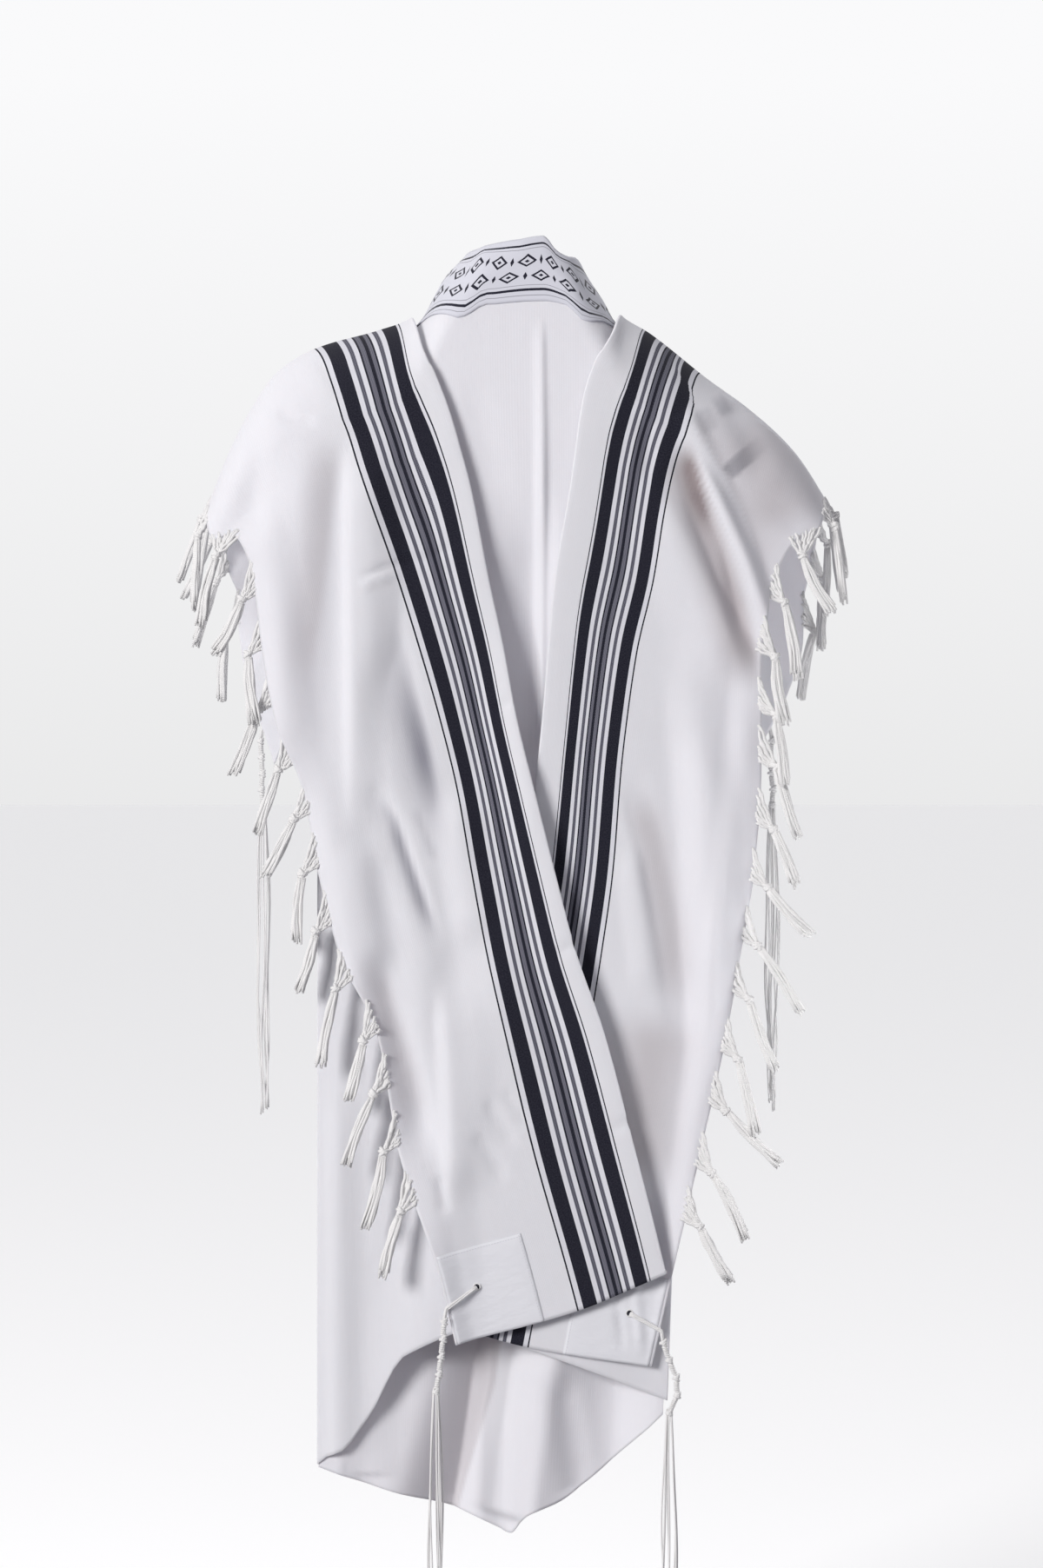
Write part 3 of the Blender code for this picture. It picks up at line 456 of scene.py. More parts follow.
def remap(tree, value, fromLow, fromHigh, toLow, toHigh):
    node = addNode(tree, "ShaderNodeMapRange")
    for slot, number in ((1, fromLow), (2, fromHigh), (3, toLow), (4, toHigh)):
        node.inputs[slot].default_value = number
    tree.links.new(value, node.inputs[0])
    return node.outputs[0]


def ramp(tree, value, stops):
    node = addNode(tree, "ShaderNodeValToRGB")
    node.color_ramp.interpolation = "CONSTANT"
    elements = node.color_ramp.elements
    elements[0].position = stops[0][0]
    elements[0].color = (*stops[0][1], 1.0)
    elements[1].position = stops[1][0]
    elements[1].color = (*stops[1][1], 1.0)
    for position, colour in stops[2:]:
        element = elements.new(position)
        element.color = (*colour, 1.0)
    tree.links.new(value, node.inputs[0])
    return node.outputs[0]


def bump(tree, height, strength, distance, under=None):
    node = addNode(tree, "ShaderNodeBump")
    node.inputs["Strength"].default_value = strength
    node.inputs["Distance"].default_value = distance
    tree.links.new(height, node.inputs["Height"])
    if under is not None:
        tree.links.new(under, node.inputs["Normal"])
    return node.outputs[0]


def wave(tree, value, pitch):
    return mathNode(tree, "SINE", mathNode(tree, "MULTIPLY", value, 2.0 * math.pi / pitch))


woolLook = {
    "white": (0.745, 0.742, 0.775),
    # colours of the painted shade that is multiplied into the wool where folds and layers beneath fall
    "coolShade": (0.16, 0.16, 0.21), "warmShade": (0.44, 0.38, 0.37),
    "black": (0.0085, 0.0085, 0.0165),
    "grey": (0.088, 0.087, 0.112),
    "bandWhite": (0.7, 0.7, 0.745),
    "textured": (0.03, 0.029, 0.046),
    "bandInner": 0.015, "bandOuter": 0.095,
    "ribPitch": 0.0016, "twillPitch": 0.0011, "zigzagPitch": 0.0026,
    "roughness": 0.95, "sheen": 0.02, "lightThrough": 0.5, "lightReach": 0.0022,
}


def bandStops():
    # stripes of the band, from its outer line at 0 to its inner line at 1
    wide = woolLook
    stripes = (
        (0.000, "black"), (0.021, "bandWhite"), (0.084, "black"), (0.269, "bandWhite"), (0.328, "textured"),
        (0.382, "bandWhite"), (0.437, "black"), (0.458, "grey"), (0.517, "black"), (0.559, "grey"),
        (0.601, "black"), (0.622, "bandWhite"), (0.672, "textured"), (0.723, "bandWhite"), (0.786, "black"),
        (0.954, "bandWhite"), (0.983, "black"),
    )
    colours = [(0.0, wide["white"])]
    masks = [(0.0, (0.0, 0.0, 0.0))]
    for place, kind in stripes:
        position = 0.05 + 0.9 * place
        colours.append((position, wide[kind]))
        masks.append((position, (1.0, 1.0, 1.0) if kind in ("textured", "grey") else (0.0, 0.0, 0.0)))
    colours.append((0.95, wide["white"]))
    masks.append((0.95, (0.0, 0.0, 0.0)))
    return colours, masks


def woolMaterial(name, banded):
    material, tree, shader = newMaterial(name, woolLook["roughness"], woolLook["sheen"])
    vector, across, along = clothCoordinates(tree)
    mottle = noise(tree, vector, 9.0, 3.0)
    streak = noise(tree, vector, 60.0, 2.0, stretch=(6.0, 0.12, 1.0))
    whiteVaried = mixColour(tree, remap(tree, mottle, 0.3, 0.7, 0.0, 0.06), woolLook["white"], (0.66, 0.66, 0.72))
    whiteVaried = mixColour(tree, remap(tree, streak, 0.35, 0.75, 0.0, 0.1), whiteVaried, (0.7, 0.69, 0.72))
    colour = whiteVaried
    if banded:
        width = woolLook["bandOuter"] - woolLook["bandInner"]
        place = mathNode(tree, "DIVIDE", mathNode(tree, "SUBTRACT", woolLook["bandOuter"], across), width)
        position = mathNode(tree, "MULTIPLY_ADD", place, 0.9, 0.05, clamp=True)
        colours, masks = bandStops()
        stripes = ramp(tree, position, colours)
        mask = ramp(tree, position, masks)
        zig = mathNode(tree, "PINGPONG", mathNode(tree, "DIVIDE", along, woolLook["zigzagPitch"]), 0.5)
        zag = mathNode(tree, "ADD", mathNode(tree, "DIVIDE", across, 0.0016), zig)
        pattern = mathNode(tree, "GREATER_THAN", mathNode(tree, "FRACT", zag), 0.52)
        lighter = mixColour(tree, pattern, stripes, (0.19, 0.19, 0.23))
        speckle = remap(tree, noise(tree, vector, 900.0, 1.0), 0.35, 0.65, 0.0, 1.0)
        textured = mixColour(tree, mask, stripes, lighter)
        grain = mixColour(tree, mathNode(tree, "MULTIPLY", speckle, 0.1), textured, (0.18, 0.18, 0.22))
        fromMiddle = mathNode(tree, "ABSOLUTE", mathNode(tree, "SUBTRACT", place, 0.5))
        outside = mathNode(tree, "LESS_THAN", fromMiddle, 0.5)
        colour = mixColour(tree, outside, whiteVaried, grain)
    # multiply in the painted shade: cool painted show-through with fold shadows, then warm painted shade in valleys and
    # creases
    for paintedShadeName, shadeName in (("paintedShowThroughAndShade", "coolShade"), ("paintedWarmShade", "warmShade")):
        paintedShade = addNode(tree, "ShaderNodeAttribute", attribute_name=paintedShadeName)
        colour = mixColour(tree, paintedShade.outputs["Fac"], colour, woolLook[shadeName], "MULTIPLY")
    tree.links.new(colour, shader.inputs["Base Color"])
    shader.subsurface_method = "RANDOM_WALK"
    shader.inputs["Subsurface Scale"].default_value = woolLook["lightReach"]
    shader.inputs["Subsurface Radius"].default_value = (1.0, 0.92, 0.9)
    if banded:
        weight = mathNode(tree, "MULTIPLY", mathNode(tree, "SUBTRACT", 1.0, outside), woolLook["lightThrough"])
        tree.links.new(weight, shader.inputs["Subsurface Weight"])
    else:
        shader.inputs["Subsurface Weight"].default_value = woolLook["lightThrough"]
    rib = wave(tree, across, woolLook["ribPitch"])
    diagonal = mathNode(tree, "ADD", across, along)
    twill = wave(tree, diagonal, woolLook["twillPitch"])
    nap = noise(tree, vector, 1400.0, 2.0)
    height = mathNode(tree, "ADD", mathNode(tree, "MULTIPLY", rib, 0.35), mathNode(tree, "MULTIPLY", twill, 0.3))
    height = mathNode(tree, "ADD", height, nap)
    slub = noise(tree, vector, 26.0, 3.0, stretch=(3.0, 0.25, 1.0))
    first = bump(tree, slub, 0.25, 0.0012)
    tree.links.new(bump(tree, height, 0.35, 0.00018, first), shader.inputs["Normal"])
    return material


woolBanded = woolMaterial("woolBanded", True)
woolPlain = woolMaterial("woolPlain", False)

neckbandLook = {
    "white": (0.66, 0.665, 0.73), "line": (0.012, 0.012, 0.025), "thinLine": (0.34, 0.34, 0.38),
    "thickLines": ((0.0085, 0.0021), (0.0625, 0.003)),
    "thinLines": ((0.0125, 0.0008), (0.057, 0.0008), (0.069, 0.0009)),
    "rows": (0.025, 0.045), "period": 0.02, "motif": 0.0068, "roughness": 0.55,
}


def lineMask(tree, value, place, width):
    away = mathNode(tree, "ABSOLUTE", mathNode(tree, "SUBTRACT", value, place))
    return mathNode(tree, "LESS_THAN", away, width * 0.5)


def neckbandMaterial():
    material, tree, shader = newMaterial("neckbandSilver", neckbandLook["roughness"], 0.2)
    vector, across, along = clothCoordinates(tree)
    cloudy = noise(tree, vector, 40.0, 2.0)
    colour = mixColour(tree, remap(tree, cloudy, 0.3, 0.7, 0.0, 0.1), neckbandLook["white"], (0.6, 0.6, 0.66))
    shift = 0.0
    for row in neckbandLook["rows"]:
        # a plain woven row of small lozenges, each with a dot beside it
        moved = mathNode(tree, "ADD", across, 1.0 + shift)
        repeats = mathNode(tree, "DIVIDE", moved, neckbandLook["period"])
        local = mathNode(tree, "SUBTRACT", mathNode(tree, "FRACT", repeats), 0.5)
        sideways = mathNode(tree, "ABSOLUTE", mathNode(tree, "MULTIPLY", local, neckbandLook["period"]))
        height = mathNode(tree, "ABSOLUTE", mathNode(tree, "SUBTRACT", along, row))
        size = mathNode(tree, "ADD", mathNode(tree, "DIVIDE", sideways, neckbandLook["motif"]),
                        mathNode(tree, "DIVIDE", height, neckbandLook["motif"] * 1.15))
        fromRing = mathNode(tree, "ABSOLUTE", mathNode(tree, "SUBTRACT", size, 0.82))
        ring = mathNode(tree, "LESS_THAN", fromRing, 0.17)
        core = mathNode(tree, "LESS_THAN", size, 0.26)
        beside = mathNode(tree, "SUBTRACT", 0.5 * neckbandLook["period"], sideways)
        dash = mathNode(tree, "LESS_THAN", mathNode(tree, "ADD", mathNode(tree, "DIVIDE", beside, 0.0013),
                                                    mathNode(tree, "DIVIDE", height, 0.0052)), 1.0)
        both = mathNode(tree, "MAXIMUM", mathNode(tree, "MAXIMUM", ring, core), dash)
        colour = mixColour(tree, both, colour, neckbandLook["line"])
        shift += 0.5 * neckbandLook["period"]
    for place, width in neckbandLook["thinLines"]:
        colour = mixColour(tree, lineMask(tree, along, place, width), colour, neckbandLook["thinLine"])
    for place, width in neckbandLook["thickLines"]:
        colour = mixColour(tree, lineMask(tree, along, place, width), colour, neckbandLook["line"])
    tree.links.new(colour, shader.inputs["Base Color"])
    height = mathNode(tree, "MULTIPLY", wave(tree, along, 0.0011), wave(tree, across, 0.0009))
    tree.links.new(bump(tree, height, 0.35, 0.00015), shader.inputs["Normal"])
    return material


patchLook = {
    "white": (0.745, 0.748, 0.785), "roughness": 0.62, "stitchInset": 0.003, "stitchPitch": 0.003,
    "eyelet": (0.059, 0.04), "eyeletRadius": 0.0027, "eyeletShade": (0.02, 0.02, 0.03),
}


def patchMaterial():
    material, tree, shader = newMaterial("patchCotton", patchLook["roughness"], 0.15)
    vector, across, along = clothCoordinates(tree)
    cloudy = noise(tree, vector, 34.0, 3.0)
    colour = mixColour(tree, remap(tree, cloudy, 0.3, 0.7, 0.0, 0.12), patchLook["white"], (0.66, 0.66, 0.71))
    # patch coordinates run from 0 at its sewn sides to its width at the cloth's edges
    stitches = 0.0
    for beside, running in ((across, along), (along, across)):
        seam = lineMask(tree, beside, patchLook["stitchInset"], 0.0007)
        repeats = mathNode(tree, "DIVIDE", running, patchLook["stitchPitch"])
        dash = mathNode(tree, "GREATER_THAN", mathNode(tree, "FRACT", repeats), 0.3)
        stitches = mathNode(tree, "MAXIMUM", stitches, mathNode(tree, "MULTIPLY", seam, dash))
    colour = mixColour(tree, mathNode(tree, "MULTIPLY", stitches, 0.35), colour, (0.4, 0.4, 0.45))
    # the eyelet hole is not cut: a dark disc is painted there as painted shade
    offAcross = mathNode(tree, "SUBTRACT", across, patchLook["eyelet"][0])
    offAlong = mathNode(tree, "SUBTRACT", along, patchLook["eyelet"][1])
    squared = mathNode(tree, "ADD", mathNode(tree, "MULTIPLY", offAcross, offAcross),
                       mathNode(tree, "MULTIPLY", offAlong, offAlong))
    inside = mathNode(tree, "LESS_THAN", squared, patchLook["eyeletRadius"]**2)
    colour = mixColour(tree, inside, colour, patchLook["eyeletShade"])
    tree.links.new(colour, shader.inputs["Base Color"])
    satin = wave(tree, mathNode(tree, "SUBTRACT", along, across), 0.001)
    wrinkle = noise(tree, vector, 55.0, 3.0, stretch=(1.0, 2.2, 1.0))
    first = bump(tree, wrinkle, 0.6, 0.0016)
    tree.links.new(bump(tree, satin, 0.2, 0.00012, first), shader.inputs["Normal"])
    return material


yarnLook = {"white": (0.82, 0.815, 0.81), "twistPitch": 0.0042, "roughness": 0.9}


def yarnMaterial():
    # yarn coordinates: across is round the yarn, along runs down it in metres
    material, tree, shader = newMaterial("twistedWool", yarnLook["roughness"], 0.3)
    vector, around, along = clothCoordinates(tree)
    turns = mathNode(tree, "ADD", mathNode(tree, "DIVIDE", along, yarnLook["twistPitch"]), around)
    ply = mathNode(tree, "ABSOLUTE", wave(tree, turns, 1.0))
    fibre = noise(tree, vector, 700.0, 2.0)
    # the grooves between the plies are painted darker: painted shade
    colour = mixColour(tree, remap(tree, ply, 0.0, 0.5, 0.22, 0.0), yarnLook["white"], (0.58, 0.56, 0.56))
    colour = mixColour(tree, remap(tree, fibre, 0.3, 0.7, 0.0, 0.12), colour, (0.6, 0.58, 0.57))
    tree.links.new(colour, shader.inputs["Base Color"])
    tree.links.new(bump(tree, ply, 0.6, 0.0004), shader.inputs["Normal"])
    return material


def plainMaterial(name, colour, roughness):
    material, tree, shader = newMaterial(name, roughness)
    shader.inputs["Base Color"].default_value = (*colour, 1.0)
    return material


neckbandSilver = neckbandMaterial()
patchCotton = patchMaterial()
twistedWool = yarnMaterial()
print("materials made")


def marks(breaks, step):
    values = [breaks[0]]
    for start, end in zip(breaks[:-1], breaks[1:]):
        count = max(1, math.ceil((end - start) / step - 1e-9))
        values += [start + (end - start) * (number + 1) / count for number in range(count)]
    return np.array(values)


def arcBetween(first, second, outward, turns):
    # rounded edge from one layer to the next
    centre = 0.5 * (first + second)
    spoke = first - centre
    radius = np.linalg.norm(spoke, axis=-1, keepdims=True)
    outward = outward - spoke * (np.sum(outward * spoke, axis=-1, keepdims=True) / (radius**2 + 1e-12))
    outward = outward / (np.linalg.norm(outward, axis=-1, keepdims=True) + 1e-12)
    return [centre + spoke * math.cos(turn) + outward * radius * math.sin(turn) for turn in turns]


# The two ends: the striped stretch, its folded edge, and the stretch that turns back beneath it
leftEnd = {
    "name": "leftEnd",
    "bandSqueeze": 1.0,
    "kinks": (),
    "creases": (
        crease(0.01, 0.05, 0.052, (350, 470), (345, 560), (336, 640), (330, 740), (328, 850), (338, 950)),
        crease(0.0085, 0.034, 0.032, (430, 500), (434, 600), (438, 700), (444, 800)),
        crease(-0.007, 0.034, 0.012, (452, 650), (460, 740), (476, 820), (490, 890), (503, 960),
               fadeIn=0.4),
        crease(-0.006, 0.024, 0.012, (425, 890), (452, 945), (478, 1015), (507, 1100)),
        crease(0.008, 0.03, 0.04, (525, 900), (534, 1000), (544, 1100)),
        crease(0.006, 0.03, 0.03, (408, 960), (425, 1040), (446, 1120)),
        crease(-0.008, 0.03, 0.022, (424, 1080), (441, 1146), (463, 1212), (482, 1279), (494, 1340)),
        crease(0.009, 0.017, 0.05, (512, 1120), (518, 1212), (521, 1310), (524, 1390)),
        crease(-0.004, 0.006, 0.009, (532, 625), (486, 643), (446, 652), (410, 668), sharp=True,
               fadeIn=0.15),
        crease(0.003, 0.006, 0.012, (455, 662), (432, 664), (412, 676), fadeIn=0.3),
        crease(-0.002, 0.01, 0.01, (365, 410), (385, 440), (392, 462)),
        crease(-0.0025, 0.01, 0.012, (318, 474), (340, 484), (366, 486)),
        crease(-0.003, 0.012, 0.008, (558, 1262), (576, 1290), (594, 1320)),
        crease(-0.0022, 0.008, 0.008, (578, 1250), (596, 1278), (610, 1300)),
        crease(-0.0024, 0.014, 0.01, (545, 1300), (566, 1330), (584, 1362)),
        crease(-0.0034, 0.01, 0.008, (506, 1350), (509, 1375), (512, 1398)),
        crease(-0.003, 0.008, 0.008, (588, 806), (575, 815), (566, 820), fadeIn=0.05),
        crease(-0.003, 0.009, 0.009, (662, 1084), (650, 1092), (640, 1096), fadeIn=0.05),
        crease(-0.0028, 0.009, 0.009, (722, 1288), (709, 1296), (700, 1300), fadeIn=0.05),
        crease(-0.003, 0.022, 0.022, (300, 480), (290, 560), (296, 640)),
    ),
    # painted shade: cool streaks of layers seen through and soft fold shadows, and warm shade in the troughs
    "paintedShading": (
        crease(0.5, 0.028, 0.013, (458, 720), (470, 790), (486, 850), (497, 905), (506, 965), fadeIn=0.6,
               fadeOut=0.45),
        crease(0.6, 0.014, 0.009, (423, 905), (452, 945), (462, 975), (482, 1030), (505, 1090), fadeIn=0.45),
        crease(0.16, 0.009, 0.007, (474, 925), (488, 960), (503, 996)),
        crease(0.26, 0.04, 0.018, (434, 640), (453, 750), (478, 850), (500, 930), (512, 1010), fadeIn=0.5,
               fadeOut=0.4),
        crease(0.07, 0.03, 0.014, (376, 500), (374, 650), (366, 850)),
        crease(-0.26, 0.036, 0.014, (384, 492), (378, 560), (370, 640), (360, 720), (350, 800), fadeIn=0.2),
        crease(-0.24, 0.04, 0.018, (430, 1090), (446, 1160), (470, 1230), (488, 1310)),
    ),
}
rightEnd = {
    "name": "rightEnd",
    "bandSqueeze": 1.17,
    "kinks": (
        {"at": (788, 462), "slope": -0.9, "length": 0.01, "step": 0.007, "fromSide": 0.145, "spread": 0.02},
    ),
    "creases": (
        crease(0.005, 0.022, 0.013, (786, 470), (803, 504), (832, 560), (860, 626), (884, 692), fadeIn=0.1),
        crease(0.011, 0.06, 0.024, (750, 520), (764, 580), (784, 620), (804, 664), (824, 708), (842, 754),
               (856, 796), fadeIn=0.35),
        crease(-0.01, 0.02, 0.013, (784, 512), (805, 575), (826, 632), (846, 690), (862, 750),
               fadeIn=0.12),
        crease(-0.003, 0.012, 0.01, (738, 470), (748, 520), (744, 560)),
        crease(-0.008, 0.02, 0.022, (722, 880), (745, 960), (768, 1066), (778, 1130), (778, 1200)),
        crease(0.006, 0.022, 0.02, (722, 960), (735, 1060), (746, 1160)),
        crease(0.009, 0.036, 0.034, (806, 830), (816, 930), (816, 1050), (804, 1180)),
        crease(0.003, 0.02, 0.02, (700, 1200), (720, 1300), (735, 1400)),
        crease(-0.003, 0.022, 0.022, (835, 455), (860, 500), (880, 560)),
        crease(-0.0022, 0.008, 0.006, (706, 1465), (712, 1510), (718, 1560), sharp=True),
        crease(0.0026, 0.008, 0.008, (728, 1460), (734, 1510), (738, 1560)),
    ),
    # painted shade: cool bars of stripes seen through from the layers beneath, and warm shade in the valley beside the
    # pleat and in the lower folds
    "paintedShading": (
        crease(0.26, 0.009, 0.009, (822, 452), (830, 466), (838, 480), flat=2.0, fadeIn=0.4),
        crease(0.46, 0.01, 0.01, (836, 546), (851, 532), (867, 518), (886, 502), flat=3.0, fadeIn=0.05,
               fadeOut=0.7),
        crease(0.16, 0.012, 0.012, (806, 468), (812, 484), (820, 500), flat=1.6),
        crease(-0.34, 0.05, 0.07, (850, 470), (890, 540), (905, 620), fadeIn=0.3),
        crease(-0.6, 0.048, 0.015, (786, 512), (806, 575), (828, 632), (848, 690), (862, 750), (866, 800),
               fadeIn=0.1),
        crease(-0.55, 0.024, 0.012, (785, 500), (799, 545), (808, 585), (818, 630), fadeOut=0.5),
        crease(-0.18, 0.004, 0.055, (794, 476), (834, 544), (863, 606), (886, 676), fadeIn=0.1),
        crease(0.14, 0.01, 0.008, (797, 560), (808, 580), (814, 602)),
        crease(-0.36, 0.026, 0.03, (728, 900), (750, 970), (770, 1070), (778, 1180)),
        crease(-0.42, 0.066, 0.06, (760, 1150), (740, 1260), (730, 1380)),
    ),
}


def sideName(isLeft):
    return "left" if isLeft else "right"


def cornerName(isLeft, isBack):
    return sideName(isLeft) + ("_back" if isBack else "_front")


def bandShift(kinks, side, drop):
    # stripes step sideways where a pleat crosses the band
    shift = np.zeros(np.shape(side))
    for kink in kinks:
        atSide, atDrop = fromPicture([kink["at"][0]], [kink["at"][1]])
        ahead = (drop - atDrop[0]) + kink["slope"] * (side - atSide[0])
        above = ease(0.5 - ahead / kink["length"]) * ease((drop + 0.02) / 0.02)
        shift += kink["step"] * above * ease((side - kink["fromSide"]) / kink["spread"])
    return shift


# The folded edges stand away from the cloth beneath them, the left one most
edgeRise = {
    "drop": (0.05, 0.2, 0.45, 0.55, 0.7, 0.9, 1.04), "reach": 0.06,
    True: (0.000, 0.006, 0.012, 0.014, 0.015, 0.012, 0.004),
    False: (0.000, 0.004, 0.004, 0.000, 0.000, 0.000, 0.000),
}


def riseOf(isLeft, across, drop):
    return smoothThrough(drop, edgeRise["drop"], edgeRise[isLeft]) * (1.0 - ease(across / edgeRise["reach"]))


def endPoints(isLeft, acrosses, alongs, creases, lift=0.0):
    side, drop = endPlace(isLeft, acrosses, alongs)
    level = layersBeneath(isLeft, side, drop)
    base = layerLift(level, drop) + np.maximum(0.0, foldRelief(endFolds[isLeft], side, drop))
    relief = np.where(drop > 0.03, creaseRelief(creases, wornPoint(side, drop, base)), 0.0)
    beyond = np.maximum(acrosses - cloth["endWidth"], 0.0)
    room = 0.002 + 0.006 * ease((np.abs(side) - 0.195) / 0.02)
    lowest = layerLift(level, drop) - room
    total = base + relief
    total = lowest + 0.5 * (total - lowest + np.sqrt((total - lowest)**2 + 0.0012**2))
    total = total + riseOf(isLeft, acrosses[None, :], drop)
    points = wornPoint(side, drop, total + 0.5 * cloth["wall"] + lift)
    if np.any(beyond > 0):
        # the cloth's edge runs on over the narrow strip that carries the fringe
        inner = points[:, np.searchsorted(acrosses, cloth["endWidth"] - 0.006), :]
        edge = points[:, np.searchsorted(acrosses, cloth["endWidth"]), :]
        way = edge - inner
        way = way / np.linalg.norm(way, axis=-1, keepdims=True)
        points = points + way[:, None, :] * beyond[None, :, None]
    return points, side, drop


underSag = {True: 0.026, False: 0.0}  # how far the hem hangs below a straight line between its corners


def underPoints(isLeft, parts, alongs):
    rows = underLines[isLeft]
    cells = [linePlace(endLines[isLeft], endThreads[isLeft], "inner", alongs),
             linePlace(rows, underThreads[isLeft], "middle", alongs),
             linePlace(rows, underThreads[isLeft], "outer", alongs)]
    side, drop = acrossRows(cells, (0.0, cloth["underMiddle"], 1.0), parts)
    slack = ease((parts - cloth["underMiddle"]) / 0.12) * ease((1.0 - parts) / 0.12)
    drop = drop + underSag[isLeft] * slack[None, :] * ease((alongs - 1.0) / 0.36)[:, None]
    level = layersBeneath(isLeft, side, drop)
    top = layerLift(level, drop) - cloth["wall"] - cloth["foldGap"] - cloth["layerEase"] * ease(parts / 0.12)
    hanging = ease((np.abs(drop) - cloth["neckbandReach"]) / cloth["shoulderFade"])
    low = cloth["overNeckband"] + (cloth["wall"] + cloth["foldGap"] - cloth["overNeckband"]) * hanging
    blend = ease((parts - 0.55) / 0.45)
    lift = top + (low - top) * blend + foldRelief(underFolds[isLeft], side, drop)
    lift = lift + riseOf(isLeft, (cloth["neckToFold"] + 0.1) * parts[None, :], drop)
    return wornPoint(side, drop, lift + 0.5 * cloth["wall"]), side, drop, lift


endAcrosses = marks((0.0, 0.012, cloth["bandLine"], cloth["endWidth"]), look["step"])
endAlongs = marks((0.0, cloth["patchSide"], 0.2, 0.62, cloth["width"]), look["step"])
edgeAcrosses = np.concatenate([endAcrosses, [cloth["endWidth"] + look["edgeGrow"]]])


def makeEnd(isLeft, piece):
    points, side, drop = endPoints(isLeft, edgeAcrosses, endAlongs, piece["creases"])
    paintedShading = paintedShadingOf(piece["paintedShading"], points, drop > 0.03)
    parts = marks((0.0, 0.06, 1.0), 0.03)
    underAlongs = np.minimum(endAlongs, cloth["width"] - cloth["hemStep"])
    under, underSide, underDrop, underLift = underPoints(isLeft, parts, underAlongs)
    turns = [math.pi * number / 6.0 for number in range(1, 6)]
    arc = arcBetween(points[:, 0], under[:, 0], points[:, 0] - points[:, 2], turns)
    last = under[:, -1]
    normal = outwardNormal(underSide[:, -1], underDrop[:, -1])
    curled = last - normal * underLift[:, -1][:, None] * 0.92
    curl = arcBetween(last, curled, last - under[:, -3], turns + [math.pi])
    columns = [points[:, ::-1]] + [item[:, None] for item in arc] + [under] + [item[:, None] for item in curl]
    grid = np.concatenate(columns, axis=1)
    acrosses = list(edgeAcrosses[::-1]) + [-0.0004 * number for number in range(1, 6)]
    acrosses += [-0.003 - 0.36 * part for part in parts] + [-0.366 - 0.001 * number for number in range(6)]
    uvs = np.zeros(grid.shape[:2] + (2,))
    acrosses = np.array(acrosses)
    squeezed = cloth["bandLine"] - (cloth["bandLine"] - acrosses) * piece["bandSqueeze"]
    uvs[..., 0] = np.where(acrosses < cloth["bandLine"], squeezed, acrosses)[None, :]
    uvs[..., 1] = endAlongs[:, None]
    kinkSide = np.zeros(grid.shape[:2])
    kinkDrop = np.full(grid.shape[:2], -1.0)
    kinkSide[:, :points.shape[1]] = side[:, ::-1]
    kinkDrop[:, :points.shape[1]] = drop[:, ::-1]
    uvs[..., 0] += bandShift(piece["kinks"], kinkSide, kinkDrop)
    paintedShade = np.zeros(grid.shape[:2] + (2,))
    paintedShade[:, :points.shape[1]] = paintedShading[:, ::-1]
    made = makeSheet(piece["name"], grid, uvs, paintedShade, woolBanded, look["thickness"], isLeft)
    name = sideName(isLeft)
    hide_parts(name + "_end_panel", name + "_under_fold")
    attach(made, "root")


makeEnd(True, leftEnd)
makeEnd(False, rightEnd)
print("ends made")

# The middle of the cloth, down the back
backColumns = {
    "across": (-0.26, -0.19, -0.135, -0.095, -0.06, -0.025, 0.000, 0.02, 0.04, 0.065, 0.12, 0.185, 0.26),
    "neckSide": (-0.096, -0.084, -0.07, -0.057, -0.038, -0.01, 0.02, 0.034, 0.045, 0.06, 0.073, 0.086, 0.097),
    "neckDrop": (-0.11, -0.075, -0.035, 0.004, 0.027, 0.028, 0.028, 0.034, 0.031, 0.004, -0.038, -0.08,
                 -0.115),
    "collarSide": (-0.172, -0.152, -0.13, -0.106, -0.075, -0.025, 0.02, 0.05, 0.08, 0.104, 0.13, 0.152,
                   0.172),
    "collarDrop": (-0.085, -0.05, -0.018, 0.01, 0.05, 0.071, 0.074, 0.062, 0.041, 0.01, -0.018, -0.05,
                   -0.085),
    "waistSide": (-0.204, -0.15, -0.105, -0.078, -0.048, -0.012, 0.021, 0.048, 0.075, 0.1, 0.125, 0.15, 0.17),
    "waistDrop": (0.45,) * 13,
    "hemSide": (-0.204, -0.14, -0.09, -0.06, -0.04, -0.022, -0.011, 0.006, 0.04, 0.075, 0.11, 0.13, 0.142),
    "hemDrop": (1.161, 1.184, 1.2, 1.211, 1.218, 1.224, 1.228, 1.209, 1.195, 1.17, 1.138, 1.119, 1.107),
}
